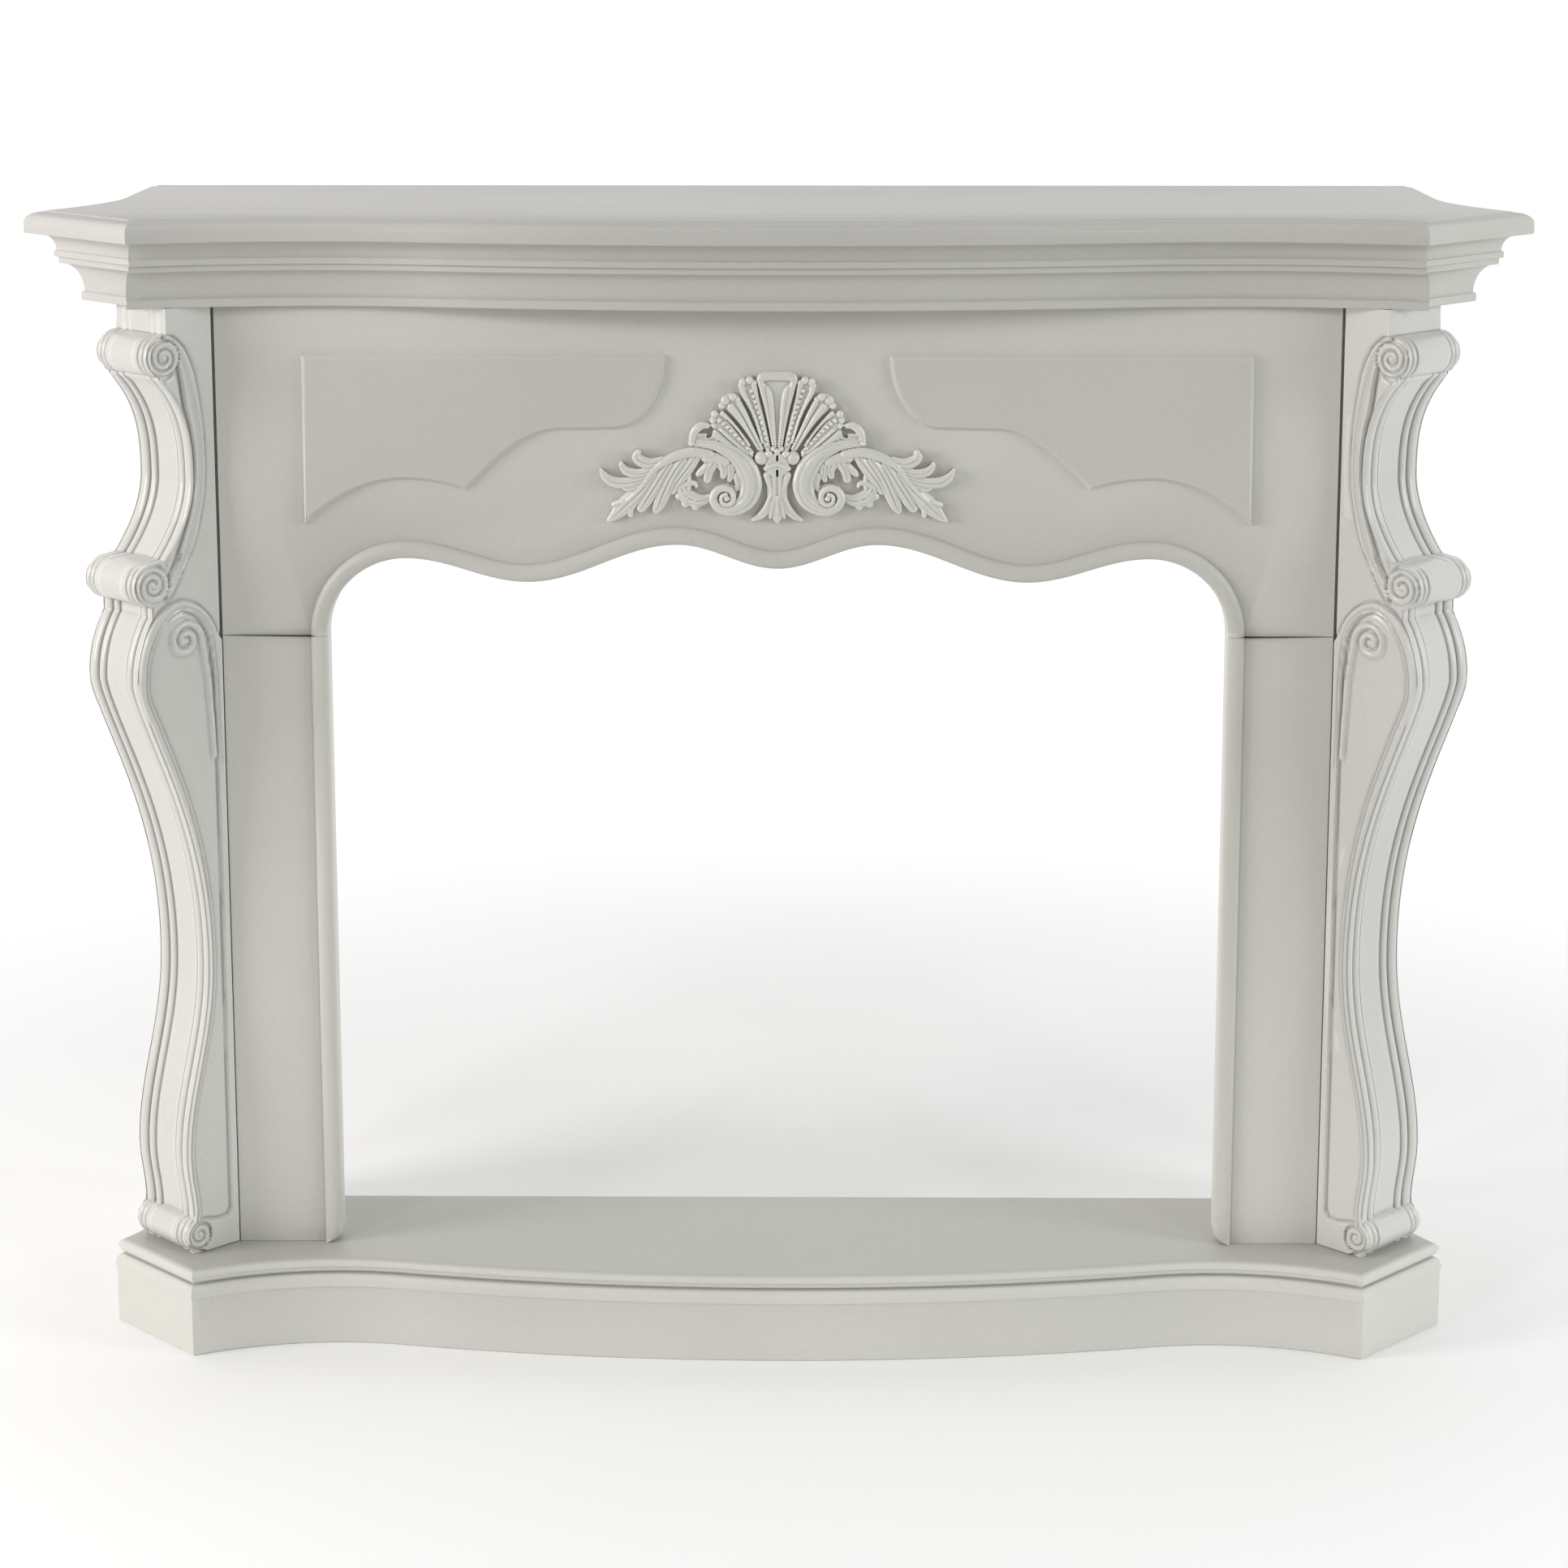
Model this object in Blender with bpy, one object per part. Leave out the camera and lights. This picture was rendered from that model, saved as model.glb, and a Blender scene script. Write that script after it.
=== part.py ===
"""Fireplace mantelpiece: serpentine shelf, scrolled corner trusses, arched frieze and moulded hearth.

Metres, Z up. X runs along the shelf, Y from the room (negative) to the wall (positive).
The origin is at the middle of the bounding box, on the floor.
"""
import math

import bmesh
import bpy
import numpy as np
from mathutils import Vector

# Gaps
SEAT = 0.0003              # gap between two pieces that touch
TRUSS_GAP = 0.003          # the open joint beside each truss

# Front boards
OPENING_HALF = 0.4515      # half the width of the fire opening
JAMB_W = 0.106             # width of each upright board
BOARD_T = 0.024            # thickness of the frieze and the jambs
JAMB_H = 0.642             # height of the upright boards
FRIEZE_H = 0.333           # height of the frieze above the joint line
BEAD_W = 0.017             # width of the rounded bead round the opening
BEAD_RISE = 0.006          # how far the bead stands in front of the boards
BEAD_FOOT = 0.015          # radius of the bead's rounded foot

# Wavy lower edge of the frieze, heights above the joint line
SIDE_ARCH_W = 0.0795       # opening side to the crown of the side arch
SIDE_ARCH_RISE = 0.0787
DIP_FROM_SIDE = 0.2015     # opening side to the low point
DIP_RISE = 0.0547
MID_ARCH_X = 0.100         # crown of the middle arches, from the centre line
MID_ARCH_RISE = 0.0927
MID_DIP_RISE = 0.0685      # low point on the centre line

# Raised fields of the frieze
FIELD_RISE = 0.0055        # height of the field over the board
FIELD_BEVEL = 0.004        # width of its sloping edge
FIELD_TOP_DROP = 0.0487    # frieze top to the field
FIELD_SIDE = 0.0855        # frieze end to the field
FIELD_IN_X = 0.111         # inner end of the field, from the centre line
FIELD_COVE_W = 0.052       # hollow inner corner of the field
FIELD_COVE_H = 0.075
FIELD_FLAT = 0.053         # straight run below the hollow corner
FIELD_CUSP_W = 0.095       # curve down to the cusp
FIELD_CUSP_DROP = 0.060
FIELD_CROWN_UP = 0.010     # cusp to the crown of the outer curve
FIELD_CROWN_W = 0.061
FIELD_TIP_DROP = 0.045     # crown to the outer tip

# Hearth
HEARTH_H = 0.090
HEARTH_EDGE_H = 0.029      # height of its moulded edge
HEARTH_CORNER_OUT = 0.037  # ear corner beyond the jambs' outer edge
HEARTH_EAR_RISE = 0.036    # ear corner in front of the dips
HEARTH_EAR_FACE = 0.1345   # width of the canted face
HEARTH_SIDE = 0.014        # side of the hearth outside the side boards
HEARTH_SWEEP = 0.150       # length of the hollow sweep behind each ear
HEARTH_NOTCH_FRONT = 0.130 # front boards' face to the front of the fire notch
HEARTH_TONGUE = 0.082      # width of the hearth under each side board

# Shelf
SHELF_T = 0.0223
SHELF_CORNER_OUT = 0.068
SHELF_EAR_RISE = 0.034
SHELF_EAR_FACE = 0.176
SHELF_SIDE = 0.061         # side of the shelf outside the side boards
SHELF_SWEEP = 0.184
NOSING_ROUND_W = 0.016     # width of the rounded upper edge
NOSING_ROUND_H = 0.0115

# Plan of the serpentine front, shared by the shelf and the hearth
FRONT_DEPTH = 0.054        # front boards' face to the dips
DIP_X = 0.445              # dips, from the centre line
BOW = 0.043                # middle of the bow in front of the dips
WALL_DEPTH = 0.348         # front boards' face to the wall

# Cornice under the shelf
CORNICE_H = 0.067
UPPER_COVE_H = 0.017
FILLET_H = 0.0065
LIP_H = 0.0085
CORNICE_SET = 0.010        # top of the cornice inside the nosing
UPPER_COVE_D = 0.012
FILLET_STEP = 0.0035
COVE_D = 0.019
LIP_OUT = 0.0025
CORNICE_BACK = 0.006       # inner edge of the cornice behind the frieze

# Trusses, sizes along the truss (45 degrees) and through it
TRUSS_T = 0.085
NECK_D = 0.030             # depth of the hollow neck
WAIST_D = 0.026            # depth of the leg's waist
BELLY_D = 0.100
SHIN_D = 0.060
ABACUS_D = 0.053
UPPER_SCROLL_D = 0.057     # centre of the upper scroll
UPPER_SCROLL_R = 0.021
LOWER_SCROLL_D = 0.079
LOWER_SCROLL_R = 0.0215
FOOT_SCROLL_D = 0.048
FOOT_SCROLL_R = 0.018
TRUSS_BEAD = 0.0115        # width of the outer bead on the front
TRUSS_REED = 0.0095        # width of the reed beside it
TRUSS_QUIRK = 0.0025       # grooves between them
TRUSS_SUNK = 0.0045        # depth of the middle band
BAND_RISE = 0.0022         # how far the carved bands stand out of the sides
SCROLL_BAND = 0.0052       # width of a scroll's band
EDGE_BAND = 0.0080         # width of the band along the leg and the neck
LEG_SCROLL_D = 0.043       # centre of the scroll at the top of the leg
LEG_SCROLL_R = 0.021

# Side boards
SIDE_T = 0.020
SIDE_OUT = 0.0704          # outer face beyond the jambs' outer edge

# Carved shell
SHELL_W = 0.354
SHELL_H = 0.150
SHELL_DROP = 0.065         # frieze top to the top of the shell
SHELL_GRID = 0.0056        # spacing of the facets before they are thinned out
SHELL_SKIN = 0.0016        # least thickness at the outline
SHELL_KEPT = 0.42          # share of the facets that stays

# Levels, from the floor up
Z_HEARTH = HEARTH_H
Z_JAMB = Z_HEARTH + SEAT
Z_JOINT = Z_JAMB + JAMB_H
Z_FRIEZE = Z_JOINT + SEAT
Z_FRIEZE_TOP = Z_FRIEZE + FRIEZE_H
Z_CORNICE = Z_FRIEZE_TOP + SEAT
Z_CORNICE_TOP = Z_CORNICE + CORNICE_H
Z_SHELF = Z_CORNICE_TOP + SEAT
Z_TOP = Z_SHELF + SHELF_T

# Plan, with the front boards' face at Y_FACE
Y_FACE = (FRONT_DEPTH + BOW - WALL_DEPTH) / 2
Y_WALL = Y_FACE + WALL_DEPTH
X_JAMB = OPENING_HALF + JAMB_W
X_SIDE = X_JAMB + SIDE_OUT
CURVE_STEPS = 6


def clear_scene():
    for obj in list(bpy.data.objects):
        bpy.data.objects.remove(obj, do_unlink=True)


def collection(name):
    coll = bpy.data.collections.new(name)
    bpy.context.scene.collection.children.link(coll)
    return coll


def material(name, colour, roughness):
    mat = bpy.data.materials.new(name)
    mat.use_nodes = True
    bsdf = mat.node_tree.nodes["Principled BSDF"]
    bsdf.inputs["Base Color"].default_value = (*colour, 1.0)
    bsdf.inputs["Roughness"].default_value = roughness
    bsdf.inputs["Metallic"].default_value = 0.0
    return mat


def finish(name, bm, coll, mat, smooth_angle=35):
    """Turn a bmesh into a named object with its own material."""
    bmesh.ops.remove_doubles(bm, verts=bm.verts, dist=1e-6)
    bmesh.ops.recalc_face_normals(bm, faces=bm.faces)
    mesh = bpy.data.meshes.new(name)
    bm.to_mesh(mesh)
    bm.free()
    if mat is not None:
        mesh.materials.append(mat)
    mesh.shade_smooth()
    mesh.set_sharp_from_angle(angle=math.radians(smooth_angle))
    obj = bpy.data.objects.new(name, mesh)
    coll.objects.link(obj)
    return obj


def loft(rings):
    """Join closed rings of points, with a flat cap on the first and the last."""
    bm = bmesh.new()
    rows = [[bm.verts.new(p) for p in ring] for ring in rings]
    count = len(rows[0])
    for a, b in zip(rows, rows[1:]):
        for i in range(count):
            j = (i + 1) % count
            bm.faces.new((a[i], a[j], b[j], b[i]))
    bm.faces.new(list(reversed(rows[0])))
    bm.faces.new(rows[-1])
    return bm


def boolean(obj, other, operation):
    mod = obj.modifiers.new(operation.title(), "BOOLEAN")
    mod.operation = operation
    mod.object = other
    mod.solver = "EXACT"


def box_cutter(name, coll, x, y, z):
    bm = bmesh.new()
    bmesh.ops.create_cube(bm, size=1.0)
    for v in bm.verts:
        v.co.x = x[0] + (v.co.x + 0.5) * (x[1] - x[0])
        v.co.y = y[0] + (v.co.y + 0.5) * (y[1] - y[0])
        v.co.z = z[0] + (v.co.z + 0.5) * (z[1] - z[0])
    obj = finish(name, bm, coll, None)
    obj.hide_render = True
    obj.display_type = "WIRE"
    return obj


# Plan outlines

def front_half(corner_x, ear_rise, steps):
    """The serpentine from the centre line to the ear's corner: a convex bow, then a hollow."""
    y_dip = Y_FACE - FRONT_DEPTH
    reach = corner_x - DIP_X
    r_dip = (reach ** 2 + ear_rise ** 2) / (2 * ear_rise)
    r_bow = (DIP_X ** 2 + BOW ** 2) / (2 * BOW) - r_dip
    join = DIP_X * r_bow / (r_bow + r_dip)
    points = []
    for i in range(steps):
        x = join * i / steps
        points.append((x, y_dip - BOW + r_bow - math.sqrt(r_bow ** 2 - x * x)))
    for i in range(steps + 1):
        x = join + (corner_x - join) * i / steps
        points.append((x, y_dip - r_dip + math.sqrt(r_dip ** 2 - (x - DIP_X) ** 2)))
    return points


def plan_outline(corner_out, ear_rise, ear_face, side_out, sweep, steps=CURVE_STEPS):
    """Half outline from the middle of the front, round the ear and back to the wall."""
    points = front_half(X_JAMB + corner_out, ear_rise, steps)
    x, y = points[-1]
    x_ear, y_ear = x + ear_face * math.sqrt(0.5), y + ear_face * math.sqrt(0.5)
    x_side = X_SIDE + side_out
    radius = ((x_ear - x_side) ** 2 + sweep ** 2) / (2 * (x_ear - x_side))
    points.append((x_ear, y_ear))
    for i in range(1, steps + 1):
        y = y_ear + sweep * i / steps
        left = y_ear + sweep - y
        points.append((x_side + radius - math.sqrt(radius ** 2 - left ** 2), y))
    points.append((x_side, Y_WALL))
    return points


def inset(points, d, corner=2.5):
    """Move an open half outline inwards by d, with mitred corners.

    The first point lies on the centre line, the last one on the wall.
    """
    moved = []
    n = len(points)
    for i, (x, y) in enumerate(points):
        normals = []
        if i > 0:
            px, py = points[i - 1]
            length = math.hypot(x - px, y - py)
            normals.append((-(y - py) / length, (x - px) / length))
        if i < n - 1:
            qx, qy = points[i + 1]
            length = math.hypot(qx - x, qy - y)
            normals.append((-(qy - y) / length, (qx - x) / length))
        if i == 0:
            normals = [(0.0, 1.0)]
        if i == n - 1:
            normals = [(-1.0, 0.0)]
        a, b = normals[0], normals[-1]
        dot = a[0] * b[0] + a[1] * b[1]
        k = min(1 / (1 + dot), corner) if len(normals) == 2 else 0.5
        moved.append((x + d * k * (a[0] + b[0]), y + d * k * (a[1] + b[1])))
    return moved


def ring(half, z):
    """Whole closed outline at height z from its right half."""
    right = [Vector((x, y, z)) for x, y in half]
    left = [Vector((-x, y, z)) for x, y in half[1:]]
    return list(reversed(left)) + right


def moulded_slab(outline, profile):
    """A slab with a moulded edge: profile is a list of (inset, z) from the bottom up."""
    return loft([ring(inset(outline, d), z) for d, z in profile])


def cove(d0, z0, d1, z1, steps, hollow=True):
    """Quarter-ellipse between two profile points, going up from (d0, z0) to (d1, z1)."""
    points = []
    for i in range(1, steps):
        a = math.pi / 2 * i / steps
        if hollow:
            points.append((d0 + (d1 - d0) * (1 - math.cos(a)), z0 + (z1 - z0) * math.sin(a)))
        else:
            points.append((d0 + (d1 - d0) * math.sin(a), z0 + (z1 - z0) * (1 - math.cos(a))))
    return points


def build_shelf(coll, mat):
    outline = plan_outline(SHELF_CORNER_OUT, SHELF_EAR_RISE, SHELF_EAR_FACE, SHELF_SIDE, SHELF_SWEEP)
    z_round = Z_TOP - NOSING_ROUND_H
    profile = [(CORNICE_SET * 0.6, Z_SHELF), (0.0008, Z_SHELF + 0.0006), (0.0, Z_SHELF + 0.0016), (0.0, z_round)]
    profile += cove(0.0, z_round, NOSING_ROUND_W, Z_TOP - 0.001, 4)
    profile += [(NOSING_ROUND_W, Z_TOP - 0.001), (NOSING_ROUND_W + 0.0008, Z_TOP)]
    return finish("mantel_shelf", moulded_slab(outline, profile), coll, mat)


def cornice_profile():
    """Profile of the bed moulding, from the underside up to the shelf."""
    d_fillet = CORNICE_SET + UPPER_COVE_D
    d_cove = d_fillet + FILLET_STEP
    d_lip = d_cove + COVE_D
    z_upper = Z_CORNICE_TOP - UPPER_COVE_H
    z_cove = z_upper - 2 * FILLET_H
    z_lip = Z_CORNICE + LIP_H
    profile = [(d_lip - LIP_OUT, Z_CORNICE), (d_lip - LIP_OUT, z_lip), (d_lip, z_lip + 0.0008)]
    profile += cove(d_lip, z_lip + 0.0008, d_cove + 0.002, z_cove, 4)
    profile += [(d_cove + 0.002, z_cove), (d_cove, z_cove + 0.0006)]
    profile += [(d_cove, z_upper - FILLET_H), (d_fillet, z_upper - FILLET_H + 0.0003), (d_fillet, z_upper)]
    profile += [(d_fillet + 0.002, z_upper + 0.001)]
    profile += cove(d_fillet + 0.002, z_upper + 0.001, CORNICE_SET, Z_CORNICE_TOP, 4)
    profile += [(CORNICE_SET, Z_CORNICE_TOP)]
    return profile


def build_cornice(coll, cutters, mat):
    outline = plan_outline(SHELF_CORNER_OUT, SHELF_EAR_RISE, SHELF_EAR_FACE, SHELF_SIDE, SHELF_SWEEP)
    cornice = finish("cornice", moulded_slab(outline, cornice_profile()), coll, mat)
    inner_x = X_SIDE - SIDE_T - CORNICE_BACK
    cut = box_cutter("cornice_hollow", cutters, (-inner_x, inner_x),
                     (Y_FACE + BOARD_T + CORNICE_BACK, Y_WALL + 0.05), (Z_CORNICE - 0.05, Z_CORNICE_TOP + 0.05))
    boolean(cornice, cut, "DIFFERENCE")
    return cornice


def build_hearth(coll, cutters, mat):
    outline = plan_outline(HEARTH_CORNER_OUT, HEARTH_EAR_RISE, HEARTH_EAR_FACE, HEARTH_SIDE, HEARTH_SWEEP)
    z_block = HEARTH_H - HEARTH_EDGE_H
    z_ovolo = z_block + 0.46 * HEARTH_EDGE_H
    z_round = HEARTH_H - 0.26 * HEARTH_EDGE_H
    profile = [(0.0012, 0.0), (0.0012, z_block), (0.0, z_block + 0.0008)]
    profile += cove(0.0, z_block + 0.0008, 0.0075, z_ovolo, 4)
    profile += [(0.0075, z_ovolo), (0.0085, z_ovolo + 0.0012)]
    profile += cove(0.0085, z_ovolo + 0.0012, 0.004, z_round - 0.001, 3, hollow=False)
    profile += [(0.004, z_round - 0.001), (0.0026, z_round)]
    profile += cove(0.0026, z_round, 0.0115, HEARTH_H, 4)
    profile += [(0.0115, HEARTH_H)]
    hearth = finish("hearth", moulded_slab(outline, profile), coll, mat)
    inner_x = X_SIDE + HEARTH_SIDE - HEARTH_TONGUE
    cut = box_cutter("hearth_notch", cutters, (-inner_x, inner_x),
                     (Y_FACE + HEARTH_NOTCH_FRONT, Y_WALL + 0.05), (-0.05, HEARTH_H + 0.05))
    boolean(hearth, cut, "DIFFERENCE")
    return hearth


# Front boards

def arch_edge():
    """Lower edge of the frieze from the centre line to the opening's side, as (x, rise)."""
    x_crown = OPENING_HALF - SIDE_ARCH_W
    x_dip = OPENING_HALF - DIP_FROM_SIDE
    knots = [(0.0, MID_DIP_RISE), (MID_ARCH_X, MID_ARCH_RISE), (x_dip, DIP_RISE), (x_crown, SIDE_ARCH_RISE)]
    points = []
    for (xa, ra), (xb, rb) in zip(knots, knots[1:]):
        for i in range(6):
            u = i / 6
            points.append((xa + (xb - xa) * u, ra + (rb - ra) * (1 - math.cos(math.pi * u)) / 2))
    for i in range(7):
        a = math.pi / 2 * i / 6
        points.append((x_crown + SIDE_ARCH_W * math.sin(a), SIDE_ARCH_RISE * math.cos(a)))
    return points


def bead_section():
    """Bead across the edge of a board: (distance in from the edge, Y from the board's face)."""
    section = [(0.0, BOARD_T), (0.0, 0.35 * BOARD_T)]
    for i in range(5):
        a = math.pi * (0.08 + 0.92 * i / 4)
        section.append((BEAD_W * (1 - math.cos(a)) / 2, -BEAD_RISE * math.sin(a)))
    return section


def offset_edge(points, d):
    """Move the frieze's lower edge up into the board by d; its ends stay on the joint line."""
    moved = []
    n = len(points)
    for i, (x, z) in enumerate(points):
        ax, az = points[max(i - 1, 0)]
        bx, bz = points[min(i + 1, n - 1)]
        if i == 0:
            tx, tz = 1.0, 0.0
        elif i == n - 1:
            tx, tz = 0.0, -1.0
        else:
            tx, tz = bx - ax, bz - az
        length = math.hypot(tx, tz)
        moved.append((x - d * tz / length, z + d * tx / length))
    return moved


def build_frieze(coll, mat):
    half = arch_edge()
    x_end = X_JAMB
    rings = []
    for d, y in bead_section():
        edge = offset_edge(half, d)
        yy = Y_FACE + y
        flat = max(yy, Y_FACE)
        row = [Vector((-x_end, flat, Z_FRIEZE)), Vector((-x_end, flat, Z_FRIEZE_TOP)),
               Vector((x_end, flat, Z_FRIEZE_TOP)), Vector((x_end, flat, Z_FRIEZE))]
        row += [Vector((x, yy, Z_FRIEZE + z)) for x, z in reversed(edge)]
        row += [Vector((-x, yy, Z_FRIEZE + z)) for x, z in edge[1:]]
        rings.append(row)
    return finish("frieze", loft(rings), coll, mat)


def field_outline(side):
    """Outline of one raised field, anticlockwise seen from the front for the right one."""
    top = Z_FRIEZE_TOP - FIELD_TOP_DROP
    x_out = X_JAMB - FIELD_SIDE
    points = [(x_out, top), (FIELD_IN_X, top)]
    z_low = top - FIELD_COVE_H
    for i in range(1, 7):
        a = math.pi / 2 * i / 6
        points.append((FIELD_IN_X + FIELD_COVE_W * (1 - math.cos(a)), top - FIELD_COVE_H * math.sin(a)))
    x_flat = FIELD_IN_X + FIELD_COVE_W + FIELD_FLAT
    z_flat = z_low - 0.1 * FIELD_CROWN_UP
    for i in range(7):
        u = i / 6
        points.append((x_flat + FIELD_CUSP_W * u, z_flat - FIELD_CUSP_DROP * (1 - math.sin(math.pi / 2 * (1 - u)))))
    x_cusp, z_cusp = points[-1]
    x_crown, z_crown = x_cusp + FIELD_CROWN_W, z_cusp + FIELD_CROWN_UP
    for i in range(1, 5):
        u = 1 - i / 4
        points.append((x_crown - FIELD_CROWN_W * u, z_crown - FIELD_CROWN_UP * u * u))
    for i in range(1, 6):
        u = i / 5
        points.append((x_crown + (x_out - x_crown) * u, z_crown - FIELD_TIP_DROP * u * u))
    return [(side * x, z) for x, z in points]


def inset_closed(points, d):
    """Move a closed outline inwards by d with mitred corners."""
    area = sum(a[0] * b[1] - b[0] * a[1] for a, b in zip(points, points[1:] + points[:1]))
    turn = 1 if area > 0 else -1
    moved = []
    n = len(points)
    for i in range(n):
        p, q, r = Vector(points[i - 1]), Vector(points[i]), Vector(points[(i + 1) % n])
        a, b = (q - p).normalized(), (r - q).normalized()
        na, nb = Vector((-a.y, a.x)) * turn, Vector((-b.y, b.x)) * turn
        k = min(1 / (1 + na.dot(nb)), 1.3)
        moved.append(tuple(q + (na + nb) * (d * k)))
    return moved


def add_fields(frieze, coll):
    """Join the two raised fields to the frieze board."""
    for name, side in (("field_left", -1), ("field_right", 1)):
        outline = field_outline(side)
        steps = [(0.0, BOARD_T / 3), (0.0, -0.3 * FIELD_RISE), (FIELD_BEVEL * 0.25, -0.8 * FIELD_RISE),
                 (FIELD_BEVEL, -FIELD_RISE)]
        rings = [[Vector((x, Y_FACE + y, z)) for x, z in inset_closed(outline, d)] for d, y in steps]
        field = finish(name, loft(rings), coll, None)
        field.hide_render = True
        field.display_type = "WIRE"
        boolean(frieze, field, "UNION")


def build_jamb(name, side, coll, mat):
    """Upright board, drawn as a section that narrows into the bead's rounded foot."""
    rings = []
    levels = [0.0, 0.12, 0.3, 0.55, 1.0]
    heights = [Z_JAMB + BEAD_FOOT * u for u in levels] + [Z_JOINT]
    for z in heights:
        rise = min(z - Z_JAMB, BEAD_FOOT)
        back = BEAD_FOOT - math.sqrt(max(BEAD_FOOT ** 2 - (BEAD_FOOT - rise) ** 2, 0.0))
        scale = 1 - back / BEAD_W
        row = [Vector((side * X_JAMB, Y_FACE, z)), Vector((side * X_JAMB, Y_FACE + BOARD_T, z))]
        for d, y in bead_section():
            x = OPENING_HALF + BEAD_W - (BEAD_W - d) * scale
            row.append(Vector((side * x, Y_FACE + y, z)))
        rings.append(row)
    return finish(name, loft(rings), coll, mat)


# Trusses

def blend(u):
    return (1 - math.cos(math.pi * min(max(u, 0.0), 1.0))) / 2


def truss_front(v):
    """Depth of the truss at the share v of its height, from the foot (0) to the abacus (1)."""
    h = JAMB_H + FRIEZE_H + SEAT
    z = v * h
    marks = {"foot": 0.020, "ankle": 0.042, "shin": 0.105, "waist": 0.320, "belly": 0.618,
             "lower": 0.7205, "neck": 0.825, "upper": 0.952, "abacus": 0.9736}
    # leg
    if v < marks["ankle"]:
        s = 0.90 * SHIN_D
    elif v < marks["shin"]:
        s = SHIN_D * (0.90 + 0.10 * blend((v - marks["ankle"]) / (marks["shin"] - marks["ankle"])))
    elif v < marks["waist"]:
        u = ((marks["waist"] - v) / (marks["waist"] - marks["shin"])) ** 1.1
        s = WAIST_D + (SHIN_D - WAIST_D) * blend(u)
    elif v < marks["belly"]:
        u = ((marks["belly"] - v) / (marks["belly"] - marks["waist"])) ** 0.66
        s = WAIST_D + (BELLY_D - WAIST_D) * blend(1 - u)
    elif v < marks["lower"]:
        u = (v - marks["belly"]) / (0.686 - marks["belly"])
        s = BELLY_D - 0.20 * BELLY_D * u ** 2.2 if u < 1 else 0.80 * BELLY_D
    elif v < marks["neck"]:
        u = (marks["neck"] - v) / 0.0728
        s = NECK_D + 0.028 * u ** 1.9
    elif v < marks["upper"]:
        u = (v - marks["neck"]) / 0.1036
        s = NECK_D + 0.034 * min(u, 1.0) ** 2.8
    elif v < marks["abacus"]:
        s = 0.95 * ABACUS_D
    else:
        return ABACUS_D
    # scrolls
    for mark, depth, radius in ((marks["lower"], LOWER_SCROLL_D, LOWER_SCROLL_R),
                                (marks["upper"], UPPER_SCROLL_D, UPPER_SCROLL_R),
                                (marks["foot"], FOOT_SCROLL_D, FOOT_SCROLL_R)):
        dz = z - mark * h
        if abs(dz) < radius:
            s = max(s, depth + math.sqrt(radius ** 2 - dz ** 2))
    return s


def truss_levels():
    """Heights at which the truss is drawn, closer together round the scrolls."""
    levels = [0.0, 0.012, 0.026, 0.0375, 0.075, 0.11, 0.16, 0.21, 0.26, 0.33, 0.40, 0.45, 0.50]
    levels += [0.54, 0.58, 0.62, 0.66, 0.6983, 0.699, 0.706, 0.720, 0.734, 0.742, 0.775, 0.82]
    levels += [0.87, 0.905, 0.9305, 0.941, 0.952, 0.963, 0.9734, 0.9738, 1.0]
    return levels


def truss_section():
    """Mouldings across the front: (place across the thickness, depth below the outline)."""
    a = TRUSS_BEAD
    b = a + TRUSS_QUIRK
    c = b + TRUSS_REED
    d = c + TRUSS_QUIRK
    half = [(0.0, 0.0020), (0.2 * a, 0.0004), (0.8 * a, 0.0004), (a, TRUSS_SUNK)]
    half += [(b, 0.7 * TRUSS_SUNK), (0.5 * (b + c), 0.3 * TRUSS_SUNK), (d, TRUSS_SUNK)]
    return half + [(TRUSS_T - t, h) for t, h in reversed(half)]


def truss_point(t, s, z):
    """World point of the right truss: t across it, s out along it, z above the hearth."""
    k = math.sqrt(0.5)
    return Vector((X_JAMB + TRUSS_GAP + k * (s + t), Y_FACE + k * (t - s), Z_JAMB + z))


def scroll_path(depth, z, radius, start, turns, steps=10):
    """Centre line of a scroll's band, from its outside at angle start into the eye."""
    points = []
    for i in range(steps + 1):
        u = i / steps
        r = (radius - SCROLL_BAND / 2) * (1 - 0.80 * u ** 0.9)
        a = math.radians(start + turns * 360 * u)
        points.append((depth + r * math.cos(a), z + r * math.sin(a)))
    return points


def band_outline(points, width, tip=1.0):
    """Closed outline of a band along a line of points; tip narrows its last end."""
    left, right = [], []
    n = len(points)
    for i, (x, z) in enumerate(points):
        ax, az = points[max(i - 1, 0)]
        bx, bz = points[min(i + 1, n - 1)]
        tx, tz = bx - ax, bz - az
        length = math.hypot(tx, tz)
        w = width / 2 * (1 + (tip - 1) * i / (n - 1))
        left.append((x - w * tz / length, z + w * tx / length))
        right.append((x + w * tz / length, z - w * tx / length))
    return left + list(reversed(right))


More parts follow.
